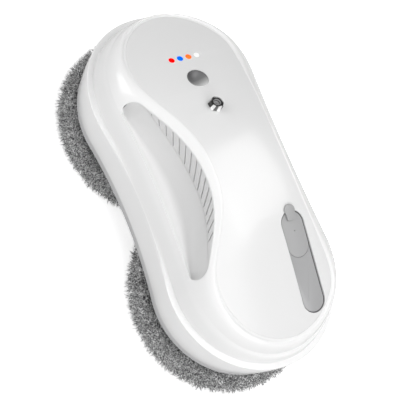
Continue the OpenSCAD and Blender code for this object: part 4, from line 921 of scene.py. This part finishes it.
# Mop pads
def pad_profile():
    """Half section of the pile's core, from the hole under the pad round its rim to the wrap over the disc."""
    r = PILE_ROUND
    pts = [(PAD_HOLE_R + out, h) for out, h in PAD_HOLE_STEPS]
    for i in range(PAD_STEPS + 1):
        a = -math.pi / 2 + math.pi * i / PAD_STEPS
        pts.append((PILE_R - PILE_DEEP - r + r * math.cos(a), PAD_T / 2 + (PAD_T / 2 - PILE_LOW) * math.sin(a)))
    pts += [(WRAP_R + WRAP_SOFT, PAD_T - PILE_LOW), (WRAP_R, PAD_T - WRAP_DROP), (WRAP_R, WRAP_LOW)]
    return pts


def mop_pad(name, side, mats, seed):
    """A pad with a padded core and a deep pile of tufts standing out of it."""
    rng = np.random.default_rng(seed)
    prof = np.array(pad_profile())
    a = np.arange(PAD_SIDES) * 2 * np.pi / PAD_SIDES
    rings = [np.stack([r * np.cos(a), r * np.sin(a) + side * WHEEL_Y, np.full(PAD_SIDES, h)], axis=1)
             for r, h in prof]
    core = loft(name, rings, clean=False)
    pile = mesh_object(name + "_tufts", *tufts(prof, side, rng))
    obj = join(name, [core, pile])
    paint(obj, mats["pile"], 180)
    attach(obj, "wheel_front" if side > 0 else "wheel_rear")
    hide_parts("mop_pad_front" if side > 0 else "mop_pad_rear")


def tufts(prof, side, rng):
    """Tapered three-sided tufts that stand out of the core's section, leaning at random."""
    d = np.diff(prof, axis=0)
    seg = np.linalg.norm(d, axis=1)
    weight = seg * (prof[:-1, 0] + prof[1:, 0]) / 2
    weight /= weight.sum()
    pick = rng.choice(len(seg), TUFTS, p=weight)
    t = rng.random(TUFTS)[:, None]
    rh = prof[pick] * (1 - t) + prof[pick + 1] * t
    out = np.stack([d[pick, 1], -d[pick, 0]], axis=1) / seg[pick, None]
    ang = rng.random(TUFTS) * 2 * np.pi
    up = np.array([0, 0, 1.0])
    radial = np.stack([np.cos(ang), np.sin(ang), np.zeros(TUFTS)], axis=1)
    tangent = np.stack([-np.sin(ang), np.cos(ang), np.zeros(TUFTS)], axis=1)
    root = radial * rh[:, :1] + up * rh[:, 1:] + np.array([0, side * WHEEL_Y, 0])
    direction = radial * out[:, :1] + up * out[:, 1:] + rng.normal(0, TUFT_LEAN, (TUFTS, 3))
    direction /= np.linalg.norm(direction, axis=1)[:, None]
    length = rng.uniform(*TUFT_LENGTH, TUFTS)[:, None]
    bend = rng.normal(0, TUFT_BEND, (TUFTS, 3))
    width = rng.uniform(*TUFT_WIDTH, TUFTS)[:, None]
    side_a = np.cross(direction, tangent + up * TUFT_TWIST)
    side_a /= np.linalg.norm(side_a, axis=1)[:, None] + TINY
    side_b = np.cross(direction, side_a)
    rings = []
    for share, wide in TUFT_RINGS:
        centre = root + direction * length * share + bend * length * share * share
        for k in range(3):
            turn = 2 * math.pi * k / 3
            rings.append(centre + (side_a * math.cos(turn) + side_b * math.sin(turn)) * width * wide)
    rings.append(root + direction * length + bend * length)
    verts = np.stack(rings, axis=1).reshape(-1, 3)
    verts[:, 2] = np.clip(verts[:, 2], TUFT_LOW, PAD_T + TUFT_RISE)
    shape = [(0, 1, 4, 3), (1, 2, 5, 4), (2, 0, 3, 5), (3, 4, 6), (4, 5, 6), (5, 3, 6)]
    faces = [tuple(7 * i + v for v in face) for i in range(TUFTS) for face in shape]
    return keep_in(verts, side), faces


def keep_in(verts, side):
    """Draws the longest tips in to the pile's radius."""
    centre = np.array([0, side * WHEEL_Y])
    flat = verts[:, :2] - centre
    r = np.linalg.norm(flat, axis=1)
    flat *= np.minimum(1, (PILE_R + TUFT_OVER) / np.maximum(r, TINY))[:, None]
    verts[:, :2] = flat + centre
    return verts


# Controls
def controls(mats):
    """The four lamps and the hollowed start button."""
    for i, (tint, *_) in enumerate(LENSES):
        obj = lathe("lens_" + tint, [(LAMP_R - inset, h) for inset, h in LENS_STEPS], 40, lamp_place(i))
        paint(obj, mats[tint], 40)
        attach(obj, "chassis")
        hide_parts("indicator_" + tint)
    prof = [(BUTTON_R + BUTTON_FLANGE, FLANGE_LOW), (BUTTON_R + BUTTON_FLANGE, FLANGE_TOP), (BUTTON_R, FLANGE_TOP)]
    prof += [(BUTTON_R - inset, h) for inset, h in BUTTON_STEPS]
    dish_r = BUTTON_R - DISH_INSET
    for i in range(DISH_STEPS + 1):
        r = dish_r * (1 - i / DISH_STEPS)
        prof.append((max(r, DISH_HUB), DISH_LOW + DISH_DEEP * (r / dish_r) ** 2))
    obj = lathe("button_cap", prof, 96, on_top(0, BUTTON_Y))
    paint(obj, mats["button"], 40)
    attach(obj, "button")
    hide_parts("start_button")


def hex_nut(mats):
    """The hexagonal nut, which narrows to a round collar at its top."""
    n = 96
    a = np.arange(n) * 2 * np.pi / n
    side = np.pi / NUT_SIDES
    hexa = NUT_AF / 2 / np.cos(np.abs((a + side) % (2 * side) - side))
    bore, collar = SOCKET_R + NUT_BORE_GAP, SOCKET_R + NUT_COLLAR

    def at(r, h):
        r = np.broadcast_to(r, a.shape)
        return np.stack([r * np.cos(a), r * np.sin(a), np.full(n, h)], axis=1)
    rings = [at(bore, NUT_FOOT), at(hexa * NUT_FOOT_SHARE, NUT_FOOT), at(hexa, NUT_CORNER_H)]
    for t in np.linspace(0, 1, 9):
        rings.append(at(hexa * (1 - t) + collar * t, NUT_FACE_H + (NUT_H - NUT_FACE_H - NUT_TOP_H) * t ** NUT_POWER))
    rings += [at(collar - NUT_MOUTH / 2, NUT_H), at(bore + NUT_MOUTH, NUT_H), at(bore, NUT_H - NUT_MOUTH)]
    obj = loft("hex_nut", rings, tube=True)
    obj.data.transform(on_top(0, SOCKET_Y))
    paint(obj, mats["chrome"], 28)
    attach(obj, "chassis")
    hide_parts("socket_nut")


def socket(mats):
    """The threaded barrel with its hollow mouth, and the steel sleeve and pin in it."""
    top, place = NUT_H + BARREL_RISE, on_top(0, SOCKET_Y)
    prof = [(SOCKET_R * BARREL_SHARE, BARREL_LOW)]
    for i in range(THREADS):
        h = THREAD_LOW + (NUT_H - THREAD_END - THREAD_LOW) * i / THREADS
        prof += [(SOCKET_R - THREAD_DEEP, h), (SOCKET_R, h + THREAD_RISE)]
    prof += [(SOCKET_R - inset, top + h) for inset, h in MOUTH_STEPS]
    prof += [(SOCKET_BORE_R + SLEEVE_SOFT, top - MOUTH_DEEP), (SOCKET_BORE_R, BORE_LOW)]
    obj = lathe("socket_barrel", prof, 56, place)
    paint(obj, mats["black"], 40)
    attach(obj, "chassis")
    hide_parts("lead_socket")
    near, far = SOCKET_BORE_R + SLEEVE_IN, SOCKET_R - SLEEVE_OUT
    low, mid, high = top - SLEEVE_DEEP, top - SLEEVE_DROP - 2 * SLEEVE_SOFT, top - SLEEVE_DROP
    ring = [(near, low), (far, low), (far, mid), (far - SLEEVE_SOFT, high), (near + SLEEVE_SOFT, high), (near, mid)]
    sleeve = lathe("socket_sleeve", ring + ring[:1], 48, place)
    pin = lathe("socket_pin", [(PIN_R, BORE_LOW)] + [(PIN_R - inset, top + h) for inset, h in PIN_STEPS], 28, place)
    core = join("socket_core", [sleeve, pin])
    paint(core, mats["pin"], 40)
    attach(core, "chassis")
    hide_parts("lead_socket")


# Camera, floor, world and lights
CAMERA_TURN = ((0.8354, 0.2615, -0.4835), (-0.3828, 0.908, -0.1703), (0.3944, 0.3273, 0.8586))
CAMERA_SPOT, CAMERA_LENS = (-352.0, -126.9, 631.2 + RIM_Z), 89.17
FLOOR_SIZE, FLOOR_COLOUR, FLOOR_GLOW = 8, (0.8, 0.8, 0.8, 1), 0.6
WORLD_SPREAD, WORLD_STRENGTH = (-0.5, 0.8, 1.15, 0.35), 0.52
SOFTBOX_FAR, SOFTBOX_SIZE = 1.6, 0.8
SOFTBOXES = (
    ("back_left", (-0.8, 0.6, 0.4), 6.0),
    ("front", (-0.2, -1, 0.5), 7.0),
    ("front_high", (0.1, -0.55, 0.83), 3.7),
    ("top", (0.05, -0.1, 1), 3.7),
    ("shine", (0.465, 0.08, 0.88), 5.6),
)

# The material of every part that still shows as the CAD made it
ENDS = ("_front", "_rear")
CAD_FINISH = {
    "steel": ["base_screws", "fan_motor"] + [name + end for name in ("hub_bearing", "gear_motor") for end in ENDS],
    "base": ("base_shell",),
    "board": ("main_board",),
    "tank": ("water_tank",),
    "black": ("spray_pump", "power_switch"),
    "hose": ("tank_hose", "nozzle_hose"),
    "cover": ("spray_nozzle",),
    "wheel": ["fan_housing"] + ["wheel_disc" + end for end in ENDS],
    "nylon": ["fan_impeller"] + [name + end for name in ("wheel_gear", "drive_pinion") for end in ENDS],
    "dark": ["air_duct", "switch_frame"] + ["motor_bracket" + end for end in ENDS],
    "wrap": ("battery_pack",),
}


def set_camera():
    data = bpy.data.cameras.new("camera")
    cam = add_object("camera", data)
    turn = Matrix(CAMERA_TURN).to_quaternion().to_matrix().to_4x4()
    cam.matrix_world = Matrix.Translation(Vector(CAMERA_SPOT) * MM) @ turn
    data.lens = CAMERA_LENS
    data.clip_start = 0.01
    bpy.context.scene.camera = cam


def show_to_camera(tree, other, seen, out):
    """Gives the camera one shader and every other ray another."""
    path = tree.nodes.new("ShaderNodeLightPath")
    mix = tree.nodes.new("ShaderNodeMixShader")
    tree.links.new(path.outputs["Is Camera Ray"], mix.inputs["Fac"])
    tree.links.new(other, mix.inputs[1])
    tree.links.new(seen, mix.inputs[2])
    tree.links.new(mix.outputs[0], out)


def lay_floor():
    """A pale floor that the camera sees as white and that keeps the shadow."""
    bpy.ops.mesh.primitive_plane_add(size=FLOOR_SIZE, location=(0, 0, 0))
    floor = bpy.context.object
    floor.name = "floor"
    mat = bpy.data.materials.new("floor")
    mat.use_nodes = True
    tree = mat.node_tree
    tree.nodes.clear()
    out = tree.nodes.new("ShaderNodeOutputMaterial")
    diffuse = add_node(tree, "BsdfDiffuse", Color=FLOOR_COLOUR)
    glow = add_node(tree, "Emission", Strength=FLOOR_GLOW)
    add = tree.nodes.new("ShaderNodeAddShader")
    tree.links.new(diffuse.outputs[0], add.inputs[0])
    tree.links.new(glow.outputs[0], add.inputs[1])
    show_to_camera(tree, diffuse.outputs[0], add.outputs[0], out.inputs[0])
    floor.data.materials.append(mat)


def set_world():
    """A soft surround, lighter on the left, which the camera sees as white."""
    world = bpy.data.worlds.new("world")
    bpy.context.scene.world = world
    world.use_nodes = True
    tree = world.node_tree
    around = tree.nodes["Background"]
    where = tree.nodes.new("ShaderNodeTexCoord").outputs["Generated"]
    tree.links.new(map_range(tree, axis_parts(tree, where)["X"], *WORLD_SPREAD), around.inputs["Color"])
    around.inputs["Strength"].default_value = WORLD_STRENGTH
    seen = add_node(tree, "Background", Color=(1, 1, 1, 1))
    show_to_camera(tree, around.outputs[0], seen.outputs[0], tree.nodes["World Output"].inputs["Surface"])


def set_lights():
    for name, direction, watts in SOFTBOXES:
        data = bpy.data.lights.new(name, "AREA")
        data.shape = "RECTANGLE"
        data.size = data.size_y = SOFTBOX_SIZE
        data.energy = watts
        lamp = add_object(name, data)
        away = Vector(direction).normalized()
        lamp.location = away * SOFTBOX_FAR
        lamp.rotation_euler = away.to_track_quat("Z", "Y").to_euler()


def dress_cad(mats):
    for key, nodes in CAD_FINISH.items():
        for name in nodes:
            wear(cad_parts[name], mats[key])


set_camera()
lay_floor()
set_world()
set_lights()
bpy.context.scene.view_settings.view_transform = "Standard"

materials = make_materials()
dress_cad(materials)
for build in (casing, band, cover, lining, louvres, controls, window, filler, hex_nut, socket):
    build(materials)
mop_pad("pad_front", 1, materials, 11)
mop_pad("pad_rear", -1, materials, 12)
